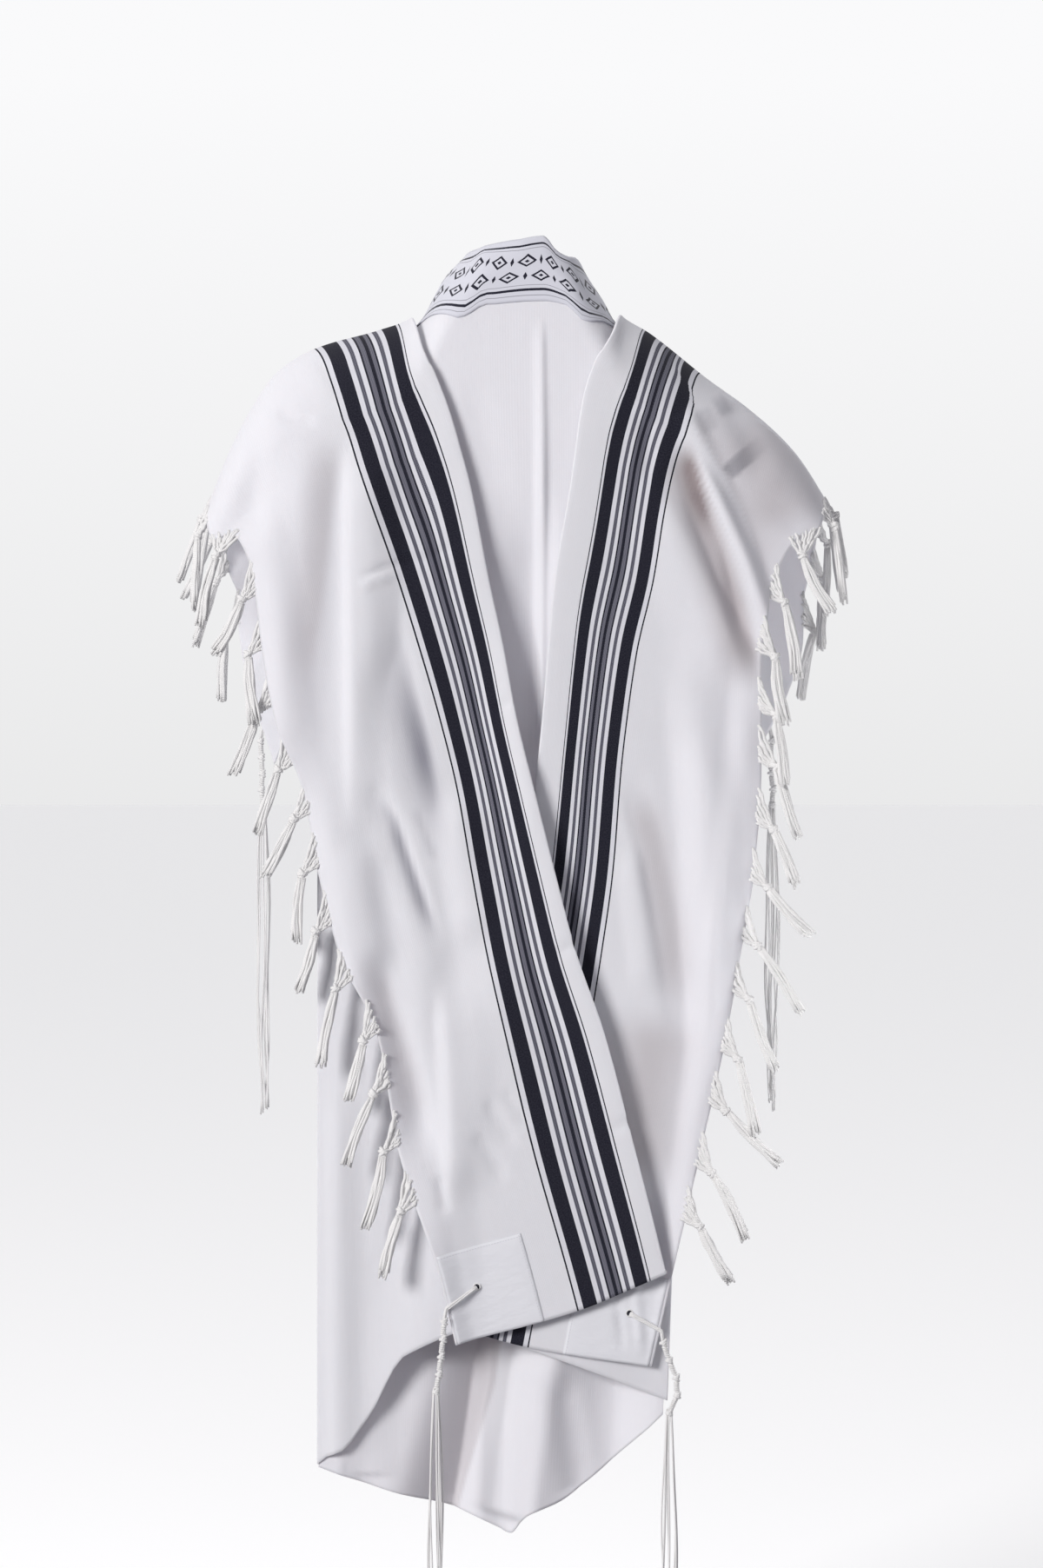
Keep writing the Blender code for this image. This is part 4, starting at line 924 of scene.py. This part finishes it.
backPanel = {
    "name": "backPanel",
    "along": (0.0, 0.075, 0.48, 1.36),
    "creases": (
        crease(0.003, 0.012, 0.004, (624, 360), (625, 500), (625, 700), (624, 860), sharp=True, fadeIn=0.1,
               fadeOut=0.2),
        crease(-0.02, 0.058, 0.034, (608, 540), (614, 640), (618, 760), (622, 900), fadeIn=0.55,
               fadeOut=0.1),
        crease(-0.003, 0.02, 0.008, (576, 1520), (566, 1590), (544, 1660), (520, 1742), sharp=True,
               fadeIn=0.12, fadeOut=0.05),
        crease(0.016, 0.05, 0.058, (515, 1540), (500, 1600), (478, 1670), (458, 1735), fadeIn=0.2,
               fadeOut=0.05),
        crease(0.012, 0.032, 0.06, (602, 1540), (592, 1620), (566, 1750), fadeOut=0.05),
        crease(-0.005, 0.024, 0.024, (640, 1580), (656, 1650), (664, 1720), fadeOut=0.05),
        crease(-0.0018, 0.02, 0.03, (540, 430), (560, 520), (590, 640)),
        crease(0.004, 0.03, 0.03, (440, 1600), (430, 1660), (428, 1700), fadeOut=0.05),
    ),
    # painted shade on the left side of the V crease at the hem
    "paintedShading": (
        crease(-0.34, 0.09, 0.005, (579, 1500), (568, 1590), (546, 1660), (520, 1750), fadeIn=0.08,
               fadeOut=0.05),
    ),
}


def backPlace(acrosses, alongs):
    side = np.zeros((len(alongs), len(acrosses)))
    drop = np.zeros_like(side)
    names = ("neck", "collar", "waist", "hem")
    sideCells = [smoothThrough(acrosses, backColumns["across"], backColumns[name + "Side"]) for name in names]
    dropCells = [smoothThrough(acrosses, backColumns["across"], backColumns[name + "Drop"]) for name in names]
    for column in range(len(acrosses)):
        side[:, column] = smoothThrough(alongs, backPanel["along"], [cell[column] for cell in sideCells])
        drop[:, column] = smoothThrough(alongs, backPanel["along"], [cell[column] for cell in dropCells])
    return side, drop


def backPoints(acrosses, alongs, lift, creases):
    side, drop = backPlace(acrosses, alongs)
    points = wornPoint(side, drop, lift + np.zeros_like(side))
    relief = np.where(drop > 0.03, creaseRelief(creases, points), 0.0) if creases else 0.0
    points[..., 1] -= foldRelief(backFolds, side, drop) + relief
    return points, side, drop


def backMarks(step):
    # finer beside the pressed crease down the middle
    far, near = cloth["neckToFold"], look["fineReach"]
    return np.concatenate([marks((-far, -near), step)[:-1], marks((-near, near), look["fineStep"]),
                           marks((near, far), step)[1:]])


def makeBack():
    acrosses = backMarks(look["step"])
    alongs = marks((0.0, cloth["neckband"], cloth["width"]), look["step"])
    points, side, drop = backPoints(acrosses, alongs, 0.5 * cloth["wall"], backPanel["creases"])
    paintedShade = paintedShadingOf(backPanel["paintedShading"], points, drop > 0.9)
    uvs = np.zeros(points.shape[:2] + (2,))
    uvs[..., 0] = acrosses[None, :] + 2.0
    uvs[..., 1] = alongs[:, None]
    made = makeSheet(backPanel["name"], points, uvs, paintedShade, woolPlain, look["thickness"], False)
    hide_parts("back_panel")
    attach(made, "root")


def makeNeckband():
    acrosses = backMarks(0.005)
    alongs = marks((0.0, cloth["neckband"]), 0.003)
    points, side, drop = backPoints(acrosses, alongs, cloth["wall"] + cloth["seam"] + 0.0006, ())
    uvs = np.zeros(points.shape[:2] + (2,))
    uvs[..., 0] = acrosses[None, :]
    uvs[..., 1] = alongs[:, None]
    made = makeSheet("neckbandWeave", points, uvs, np.zeros(points.shape[:2] + (2,)), neckbandSilver, 0.0011, False)
    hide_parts("neckband")
    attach(made, "root")


makeBack()
makeNeckband()
print("back and neckband made")


# Corner patches lie on the ends, moved out, a little full between their seams
patchForm = {"puff": 0.0006, "lift": 0.001, "thickness": 0.0005}


def makePatch(isLeft, isBack):
    piece = leftEnd if isLeft else rightEnd
    inner = cloth["endWidth"] - cloth["patchSide"]
    acrosses = marks((inner, cloth["endWidth"]), 0.003)
    if isBack:
        alongs = marks((cloth["width"] - cloth["patchSide"], cloth["width"]), 0.003)
        depth = alongs - alongs[0]
    else:
        alongs = marks((0.0, cloth["patchSide"]), 0.003)
        depth = alongs[-1] - alongs
    reach = acrosses - inner
    nearest = np.minimum(np.minimum(reach[None, :], (acrosses[-1] - acrosses)[None, :] + 0.004),
                         np.minimum(depth[:, None], 0.09 - depth[:, None] + 0.004))
    puff = patchForm["puff"] * ease(nearest / 0.012)
    points, side, drop = endPoints(isLeft, acrosses, alongs, piece["creases"], patchForm["lift"] + puff)
    uvs = np.zeros(points.shape[:2] + (2,))
    uvs[..., 0] = reach[None, :]
    uvs[..., 1] = depth[:, None]
    name = cornerName(isLeft, isBack)
    made = makeSheet(name + "_corner", points, uvs, np.zeros(points.shape[:2] + (2,)), patchCotton, patchForm["thickness"], not isLeft)
    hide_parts(name + "_patch")
    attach(made, "root")


for isLeft in (True, False):
    for isBack in (True, False):
        makePatch(isLeft, isBack)
print("patches made")


class YarnBuilder:
    # tubes of yarn gathered in one mesh, with coordinates round and along each

    def __init__(self):
        self.points = []
        self.faces = []
        self.uvs = []

    def tube(self, path, radii, sides):
        path = np.asarray(path, float)
        count = len(path)
        radii = np.broadcast_to(np.asarray(radii, float), (count,))
        ways = np.gradient(path, axis=0)
        ways = ways / (np.linalg.norm(ways, axis=1, keepdims=True) + 1e-12)
        helper = np.array([0.0, 1.0, 0.0]) if abs(ways[0][1]) < 0.9 else np.array([1.0, 0.0, 0.0])
        wide = np.cross(ways[0], helper)
        wide = wide / np.linalg.norm(wide)
        first = len(self.points)
        along = 0.0
        alongs = []
        for number in range(count):
            wide = wide - ways[number] * np.dot(wide, ways[number])
            wide = wide / (np.linalg.norm(wide) + 1e-12)
            deep = np.cross(ways[number], wide)
            if number:
                along += np.linalg.norm(path[number] - path[number - 1])
            alongs.append(along)
            for corner in range(sides):
                turn = 2.0 * math.pi * corner / sides
                self.points.append(path[number] + radii[number] * (wide * math.cos(turn) + deep * math.sin(turn)))
        for number in range(count - 1):
            for corner in range(sides):
                other = (corner + 1) % sides
                low = first + number * sides
                high = low + sides
                self.faces.append((low + corner, low + other, high + other, high + corner))
                self.uvs.append(((corner / sides, alongs[number]), ((corner + 1) / sides, alongs[number]),
                                 ((corner + 1) / sides, alongs[number + 1]), (corner / sides, alongs[number + 1])))
        for start, reverse in ((first, True), (first + (count - 1) * sides, False)):
            ring = tuple(range(start, start + sides))
            self.faces.append(ring[::-1] if reverse else ring)
            self.uvs.append(tuple((0.0, 0.0) for corner in ring))

    def finish(self, name, material):
        mesh = bpy.data.meshes.new(name)
        mesh.from_pydata([tuple(point) for point in self.points], [], self.faces)
        layer = mesh.uv_layers.new(name="cloth")
        flat = [value for face in self.uvs for value in face]
        layer.data.foreach_set("uv", np.array(flat, dtype=np.float32).ravel())
        mesh.polygons.foreach_set("use_smooth", np.ones(len(mesh.polygons), dtype=bool))
        mesh.materials.append(material)
        mesh.update()
        piece = bpy.data.objects.new(name, mesh)
        bpy.context.scene.collection.objects.link(piece)
        return piece


# Fringe: two twisted legs from the edge meet in a knot, and the yarns below it hang loose
fringe = {
    "pitch": 0.057, "clear": 0.14, "crest": 0.002, "legSpread": 0.01, "legDrop": 0.018, "knotOut": 0.006,
    "tail": 0.068, "knotRadius": 0.0056, "legRadius": 0.0016, "yarnRadius": 0.00145, "yarns": 22, "seed": 11,
    "swing": {
        True: ((0.0, 0.4, 0.62, 0.9, 1.1, 1.36), (0, 4, 5, 18, 14, 0)),
        False: ((0.0, 0.36, 0.46, 0.62, 0.9, 1.1, 1.36), (-14, -8, 10, 8, 24, 26, 10)),
    },
}


def edgeLine(isLeft):
    alongs = endAlongs
    acrosses = np.array([cloth["endWidth"] - 0.022, cloth["endWidth"]])
    side, drop = endPlace(isLeft, acrosses, alongs)
    level = layersBeneath(isLeft, side, drop)
    base = layerLift(level, drop) + np.maximum(0.0, foldRelief(endFolds[isLeft], side, drop))
    points = wornPoint(side, drop, base)
    normals = outwardNormal(side[:, 1], drop[:, 1])
    edge = points[:, 1]
    inside = points[:, 0]
    distances = np.concatenate([[0.0], np.cumsum(np.linalg.norm(np.diff(edge, axis=0), axis=1))])
    return edge, inside, normals, distances, drop[:, 1]


def unit(vector):
    return vector / (np.linalg.norm(vector) + 1e-12)


def pointAt(distance, distances, points):
    return np.array([np.interp(distance, distances, points[:, axis]) for axis in range(3)])


def edgeFrame(line, distance):
    edge, inside, normals, distances = line[:4]
    place = pointAt(distance, distances, edge)
    inner = pointAt(distance, distances, inside)
    normal = unit(pointAt(distance, distances, normals))
    along = unit(pointAt(distance + 0.01, distances, edge) - pointAt(distance - 0.01, distances, edge))
    outward = place - inner
    outward = unit(outward - normal * np.dot(outward, normal))
    outward = unit(outward - along * (0.9 * np.dot(outward, along)))
    return place, outward, normal, along


def bowed(start, end, sag, steps):
    part = np.linspace(0.0, 1.0, steps)[:, None]
    return start + (end - start) * part + np.array(sag)[None, :] * (4.0 * part * (1.0 - part))


def makeTassel(builder, chance, line, middle, swing, length, lean):
    place, outward, normal, along = edgeFrame(line, middle)
    if along[2] > 0.0:
        along = -along
    down = np.array([0.0, 0.0, -1.0])
    away = unit(np.array([outward[0], 0.0, 0.0]))
    legWay = unit(outward * 0.7 + down * 0.7)
    strip = outward * 0.0033 + normal * 0.5 * cloth["wall"]
    root = place + along * fringe["legSpread"] + strip
    knot = root + legWay * fringe["legDrop"] + normal * fringe["knotOut"]
    way = unit(down * math.cos(swing) + away * math.sin(swing) + normal * lean)
    inset = outward * 0.004
    roots = (root - inset, place - along * fringe["legSpread"] + strip - inset)
    for begin in roots:
        for strand in range(5):
            jitter = chance.uniform(-0.0012, 0.0012, 3)
            sag = chance.uniform(-0.0012, 0.0012, 3) + np.array([0.0, 0.0, -0.002])
            spread = along * (0.0034 * (strand - 2) + float(chance.uniform(-0.001, 0.001)))
            path = bowed(begin + jitter + spread, knot + jitter * 0.5, sag, 7)
            turns = np.linspace(0.0, 5.0 * math.pi, 7) + math.pi * strand
            side = unit(np.cross(knot - begin, normal))
            path = path + 0.0008 * (np.cos(turns)[:, None] * side + np.sin(turns)[:, None] * normal)
            builder.tube(path, fringe["legRadius"], 6)
    across = unit(np.cross(way, normal))
    radius = fringe["knotRadius"]
    for loop in range(3):
        tilt = chance.uniform(-0.5, 0.5) + (-0.5, 0.1, 0.6)[loop]
        axisOne = unit(across * math.cos(tilt) + way * math.sin(tilt))
        centre = knot + way * (0.0012 * (loop - 1))
        turns = np.linspace(0.0, 2.0 * math.pi, 13)
        path = centre + radius * 0.72 * (np.cos(turns)[:, None] * axisOne + np.sin(turns)[:, None] * normal * 0.8)
        builder.tube(path, 0.0017, 6)
    core = knot + way[None, :] * np.linspace(-0.004, 0.01, 6)[:, None]
    builder.tube(core, np.array([0.0014, 0.003, 0.0036, 0.0034, 0.0026, 0.0018]), 8)
    bend = chance.uniform(-1.0, 1.0)
    flare = float(chance.uniform(0.0008, 0.0026))
    for number in range(fringe["yarns"]):
        turn = 2.0 * math.pi * number / fringe["yarns"] + chance.uniform(-0.3, 0.3)
        spread = math.sqrt((number % 5 + 0.6) / 5.0)
        offWide = math.cos(turn) * spread
        offDeep = math.sin(turn) * spread * 0.6
        reach = length * chance.uniform(0.88, 1.04)
        parts = np.linspace(0.0, 1.0, 8)
        fan = 0.0034 + 0.0016 * ease(parts / 0.35) + flare * parts**3
        wave = 0.0006 * np.sin(parts * chance.uniform(6.0, 11.0) + chance.uniform(0.0, 6.0))
        curve = 0.009 * bend * parts**2
        path = (knot + way * 0.004 + way[None, :] * (reach * parts)[:, None]
                + across[None, :] * (offWide * fan + wave + curve)[:, None]
                + normal[None, :] * (offDeep * fan + 0.5 * wave)[:, None])
        taper = fringe["yarnRadius"] * np.array([1.0, 1.1, 1.15, 1.1, 1.1, 1.05, 0.95, 0.75])
        builder.tube(path, taper, 5)


def makeFringe(isLeft, isBack, line):
    total = line[3][-1]
    crest = line[3][int(np.argmin(np.abs(line[4])))]
    if isBack:
        start, end = crest + 0.002, total - fringe["clear"]
    else:
        start, end = fringe["clear"], crest - 0.002
    chance = np.random.default_rng(fringe["seed"] + (1 if isLeft else 2) + int(start * 10))
    extra = np.random.default_rng(fringe["seed"] * 7 + int(start * 100))
    count = max(1, int(round((end - start) / fringe["pitch"])))
    builder = YarnBuilder()
    for index in range(count):
        middle = start + (end - start) * (index + 0.5) / count
        middle += float(chance.uniform(-0.004, 0.004))
        swing = float(smoothThrough(middle, *fringe["swing"][isLeft])) + float(chance.uniform(-13.0, 13.0))
        length = fringe["tail"] * float(chance.uniform(0.85, 1.12))
        lean = float(chance.uniform(0.12, 0.2))
        makeTassel(builder, extra, line, middle, math.radians(swing), length, lean)
    name = cornerName(isLeft, isBack)
    made = builder.finish(name + "_tassels", twistedWool)
    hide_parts(name + "_fringe")
    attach(made, "root")


# Corner tassels: wound and knotted from the eyelet over the edge, then eight strands
tzitzit = {
    "bends": {
        "left_back": (0.0, -0.001, -0.003, -0.005, -0.008), "right_back": (0.0, 0.006, 0.013, 0.014, 0.006),
        "left_front": (0.0, 0.001, 0.002, 0.001, 0.003), "right_front": (0.0, -0.002, -0.001, 0.001, 0.0),
    },
    "toEdge": 0.031, "toHem": 0.05, "cordToHem": 0.038, "radius": 0.0028, "wound": 0.07, "knots": (3, 5, 7, 9, 11),
    "wrapRadius": 0.00095, "strandRadius": 0.00085, "lowest": -1.425, "frontLowest": -0.83,
    "doubledRadius": 0.00105, "core": 0.0018, "windPitch": 0.002, "knotClear": 0.0036,
}


def makeTzitzit(isLeft, isBack, line):
    name = cornerName(isLeft, isBack)
    total = line[3][-1]
    eyeletAlong = cloth["width"] - tzitzit["toHem"] if isBack else tzitzit["toHem"]
    distance = total - tzitzit["cordToHem"] if isBack else tzitzit["cordToHem"]
    place = np.array([cloth["endWidth"] - tzitzit["toEdge"]])
    eyelet, side, drop = endPoints(isLeft, place, np.array([eyeletAlong]), ())
    eyelet = eyelet[0, 0]
    eyeNormal = outwardNormal(side[0, 0], drop[0, 0])
    edge, outward, normal, along = edgeFrame(line, distance)
    lift = 0.5 * cloth["wall"] + 2.0 * cloth["seam"] + cloth["patchWall"] + tzitzit["radius"]
    start = eyelet + eyeNormal * lift
    over = edge + normal * (lift + 0.5 * cloth["wall"]) + outward * 0.004
    below = over + np.array([outward[0] * 0.002, 0.0, -0.012])
    route = [start, 0.5 * (start + over), over, below]
    bends = tzitzit["bends"][name]
    for step in range(1, 9):
        sway = float(np.interp(step / 8.0, (0.0, 0.25, 0.5, 0.75, 1.0), bends))
        route.append(below + np.array([sway, 0.0, -tzitzit["wound"] * step / 8.0]))
    route = np.array(route)
    chance = np.random.default_rng(len(name) * 3 + (5 if isBack else 9))
    lengths = np.concatenate([[0.0], np.cumsum(np.linalg.norm(np.diff(route, axis=0), axis=1))])

    def along3(distances):
        return np.stack([np.interp(distances, lengths, route[:, axis]) for axis in range(3)], axis=-1)

    builder = YarnBuilder()
    crossing = lengths[3]
    for strand in range(4):
        # four strands, doubled, lie side by side from the eyelet to the first knot
        places = np.linspace(0.0, crossing, 9)
        path = along3(places)
        turn = 0.5 * math.pi * strand + np.linspace(0.0, 1.6, 9)
        way = unit(route[2] - route[0])
        wide = unit(np.cross(way, eyeNormal))
        path = path + 0.0012 * (np.cos(turn)[:, None] * wide + np.sin(turn)[:, None] * eyeNormal)
        builder.tube(path, tzitzit["doubledRadius"], 6)
    core = along3(np.linspace(crossing, lengths[-1], 30))
    builder.tube(core, tzitzit["core"], 8)
    knotPlaces = [lengths[index] for index in tzitzit["knots"]]
    for index, knotPlace in enumerate(knotPlaces):
        centre = along3(np.array([knotPlace]))[0]
        for loop in range(3):
            tilt = (-0.45, 0.15, 0.55)[loop] + chance.uniform(-0.15, 0.15)
            turns = np.linspace(0.0, 2.0 * math.pi, 13)
            ring = np.stack([np.cos(turns), np.sin(turns), np.cos(turns) * math.tan(tilt)], axis=-1)
            path = centre + ring * 0.0028 + np.array([0.0, 0.0, 0.0013 * (loop - 1)])
            builder.tube(path, 0.0013, 6)
        if index + 1 < len(knotPlaces):
            first = knotPlace + tzitzit["knotClear"]
            second = knotPlaces[index + 1] - tzitzit["knotClear"]
            winds = max(3, int((second - first) / tzitzit["windPitch"]))
            steps = winds * 10
            places = np.linspace(first, second, steps)
            turns = np.linspace(0.0, 2.0 * math.pi * winds, steps)
            coil = np.stack([np.cos(turns), np.sin(turns), np.zeros(steps)], axis=-1)
            path = along3(places) + 0.0021 * coil
            builder.tube(path, tzitzit["wrapRadius"], 6)
    bottom = route[-1]
    lowest = tzitzit["lowest"] if isBack else tzitzit["frontLowest"]
    for strand in range(8):
        turn = 2.0 * math.pi * strand / 8.0 + chance.uniform(-0.2, 0.2)
        end = lowest + chance.uniform(0.0, 0.035)
        parts = np.linspace(0.0, 1.0, 26)
        fan = 0.0018 + 0.0052 * np.sin(math.pi * np.minimum(parts * 1.1 + 0.03, 0.85))
        waveX = 0.0028 * np.sin(parts * chance.uniform(7.0, 12.0) + chance.uniform(0.0, 6.0)) * parts
        waveY = 0.0022 * np.sin(parts * chance.uniform(7.0, 12.0) + chance.uniform(0.0, 6.0)) * parts
        path = np.zeros((26, 3))
        path[:, 0] = bottom[0] + math.cos(turn) * fan + waveX
        path[:, 1] = bottom[1] + math.sin(turn) * fan + waveY
        path[:, 2] = bottom[2] + 0.004 + (end - bottom[2] - 0.004) * parts
        builder.tube(path, tzitzit["strandRadius"], 6)
    # stitched ring of the eyelet
    turns = np.linspace(0.0, 2.0 * math.pi, 19)
    across = unit(np.cross(eyeNormal, np.array([0.0, 0.0, 1.0])))
    upward = unit(np.cross(across, eyeNormal))
    centre = eyelet + eyeNormal * (0.5 * cloth["wall"] + cloth["seam"] + cloth["patchWall"] + 0.0006)
    ring = centre + 0.0034 * (np.cos(turns)[:, None] * across + np.sin(turns)[:, None] * upward)
    builder.tube(ring, 0.0006, 6)
    made = builder.finish(name + "_cornerTassel", twistedWool)
    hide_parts(name + "_tzitzit")
    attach(made, "root")


for isLeft in (True, False):
    line = edgeLine(isLeft)
    for isBack in (True, False):
        makeFringe(isLeft, isBack, line)
        makeTzitzit(isLeft, isBack, line)
print("fringe and corner tassels made")

# Floor, light and camera
stage = {
    "floorHeight": -1.45, "floorSize": 400.0, "floorColour": (0.84, 0.84, 0.84),
    "backdrop": (0.955, 0.955, 0.965), "roomShade": (0.255, 0.25, 0.272), "horizon": (0.82, 0.82, 0.825), "sweep": 0.16,
    "floorGlow": 0.23,
}


def makeFloor():
    bm = bmesh.new()
    bmesh.ops.create_grid(bm, x_segments=2, y_segments=2, size=0.5 * stage["floorSize"])
    mesh = bpy.data.meshes.new("floor")
    bm.to_mesh(mesh)
    bm.free()
    floor = bpy.data.objects.new("floor", mesh)
    floor.location = (0.0, 0.0, stage["floorHeight"])
    pale = plainMaterial("paleFloor", stage["floorColour"], 0.8)
    shader = pale.node_tree.nodes["Principled BSDF"]
    shader.inputs["Emission Color"].default_value = (1.0, 1.0, 1.0, 1.0)
    shader.inputs["Emission Strength"].default_value = stage["floorGlow"]
    mesh.materials.append(pale)
    floor.visible_diffuse = False  # keeps the folds' shade from being filled in from below
    bpy.context.scene.collection.objects.link(floor)


def makeArea(name, place, aim, size, power, colour=(1.0, 1.0, 1.0)):
    data = bpy.data.lights.new(name, "AREA")
    data.shape = "SQUARE"
    data.size = size
    data.energy = power
    data.color = colour
    light = bpy.data.objects.new(name, data)
    light.location = place
    light.rotation_mode = "QUATERNION"
    light.rotation_quaternion = (Vector(aim) - Vector(place)).to_track_quat("-Z", "Y")
    bpy.context.scene.collection.objects.link(light)


def makeStudio():
    # white backdrop on the far side, dimmer room on the near side, and a pale sweep above the floor
    world = bpy.data.worlds.new("paleStudio")
    world.use_nodes = True
    tree = world.node_tree
    place = addNode(tree, "ShaderNodeTexCoord")
    split = addNode(tree, "ShaderNodeSeparateXYZ")
    tree.links.new(place.outputs["Generated"], split.inputs[0])
    factor = remap(tree, split.outputs[1], 0.05, 0.75, 0.0, 1.0)
    light = mixColour(tree, factor, stage["roomShade"], stage["backdrop"])
    height = remap(tree, split.outputs[2], -0.005, stage["sweep"], 0.0, 1.0)
    seen = mixColour(tree, height, stage["horizon"], stage["backdrop"])
    rays = addNode(tree, "ShaderNodeLightPath")
    shown = mixColour(tree, rays.outputs["Is Camera Ray"], light, seen)
    tree.links.new(shown, tree.nodes["Background"].inputs["Color"])
    bpy.context.scene.world = world


def makeSun(name, place, strength):
    data = bpy.data.lights.new(name, "SUN")
    data.energy = strength
    data.angle = math.radians(50.0)
    light = bpy.data.objects.new(name, data)
    light.rotation_mode = "QUATERNION"
    light.rotation_quaternion = (-Vector(place)).to_track_quat("-Z", "Y")
    bpy.context.scene.collection.objects.link(light)


makeFloor()
makeStudio()
makeArea("keyLeft", (-5.6, -7.6, 2.0), (0.0, 0.0, -0.6), 3.0, 820.0, (1.0, 0.988, 0.978))
makeArea("fillFront", (1.2, -4.4, 0.1), (0.0, 0.0, -0.6), 2.4, 4.0)
makeArea("fillLow", (0.62, -0.2, -0.85), (0.27, 0.12, -0.42), 0.25, 2.0)
makeSun("overhead", (0.0, 1.1, 3.0), 0.7)
bpy.context.scene.view_settings.view_transform = "Standard"

camera = bpy.data.cameras.new("photoCamera")
camera.lens = 36.0 * picture["distance"] / (1804 * picture["metresPerPixel"])
camera.sensor_width = 36.0
camera.clip_start = 0.05
camera.clip_end = 200.0
cameraObject = bpy.data.objects.new("photoCamera", camera)
cameraObject.location = (0.0, -picture["distance"], picture["eyeHeight"])
cameraObject.rotation_euler = (math.radians(90.0), 0.0, 0.0)
bpy.context.scene.collection.objects.link(cameraObject)
bpy.context.scene.camera = cameraObject
print("stage made")
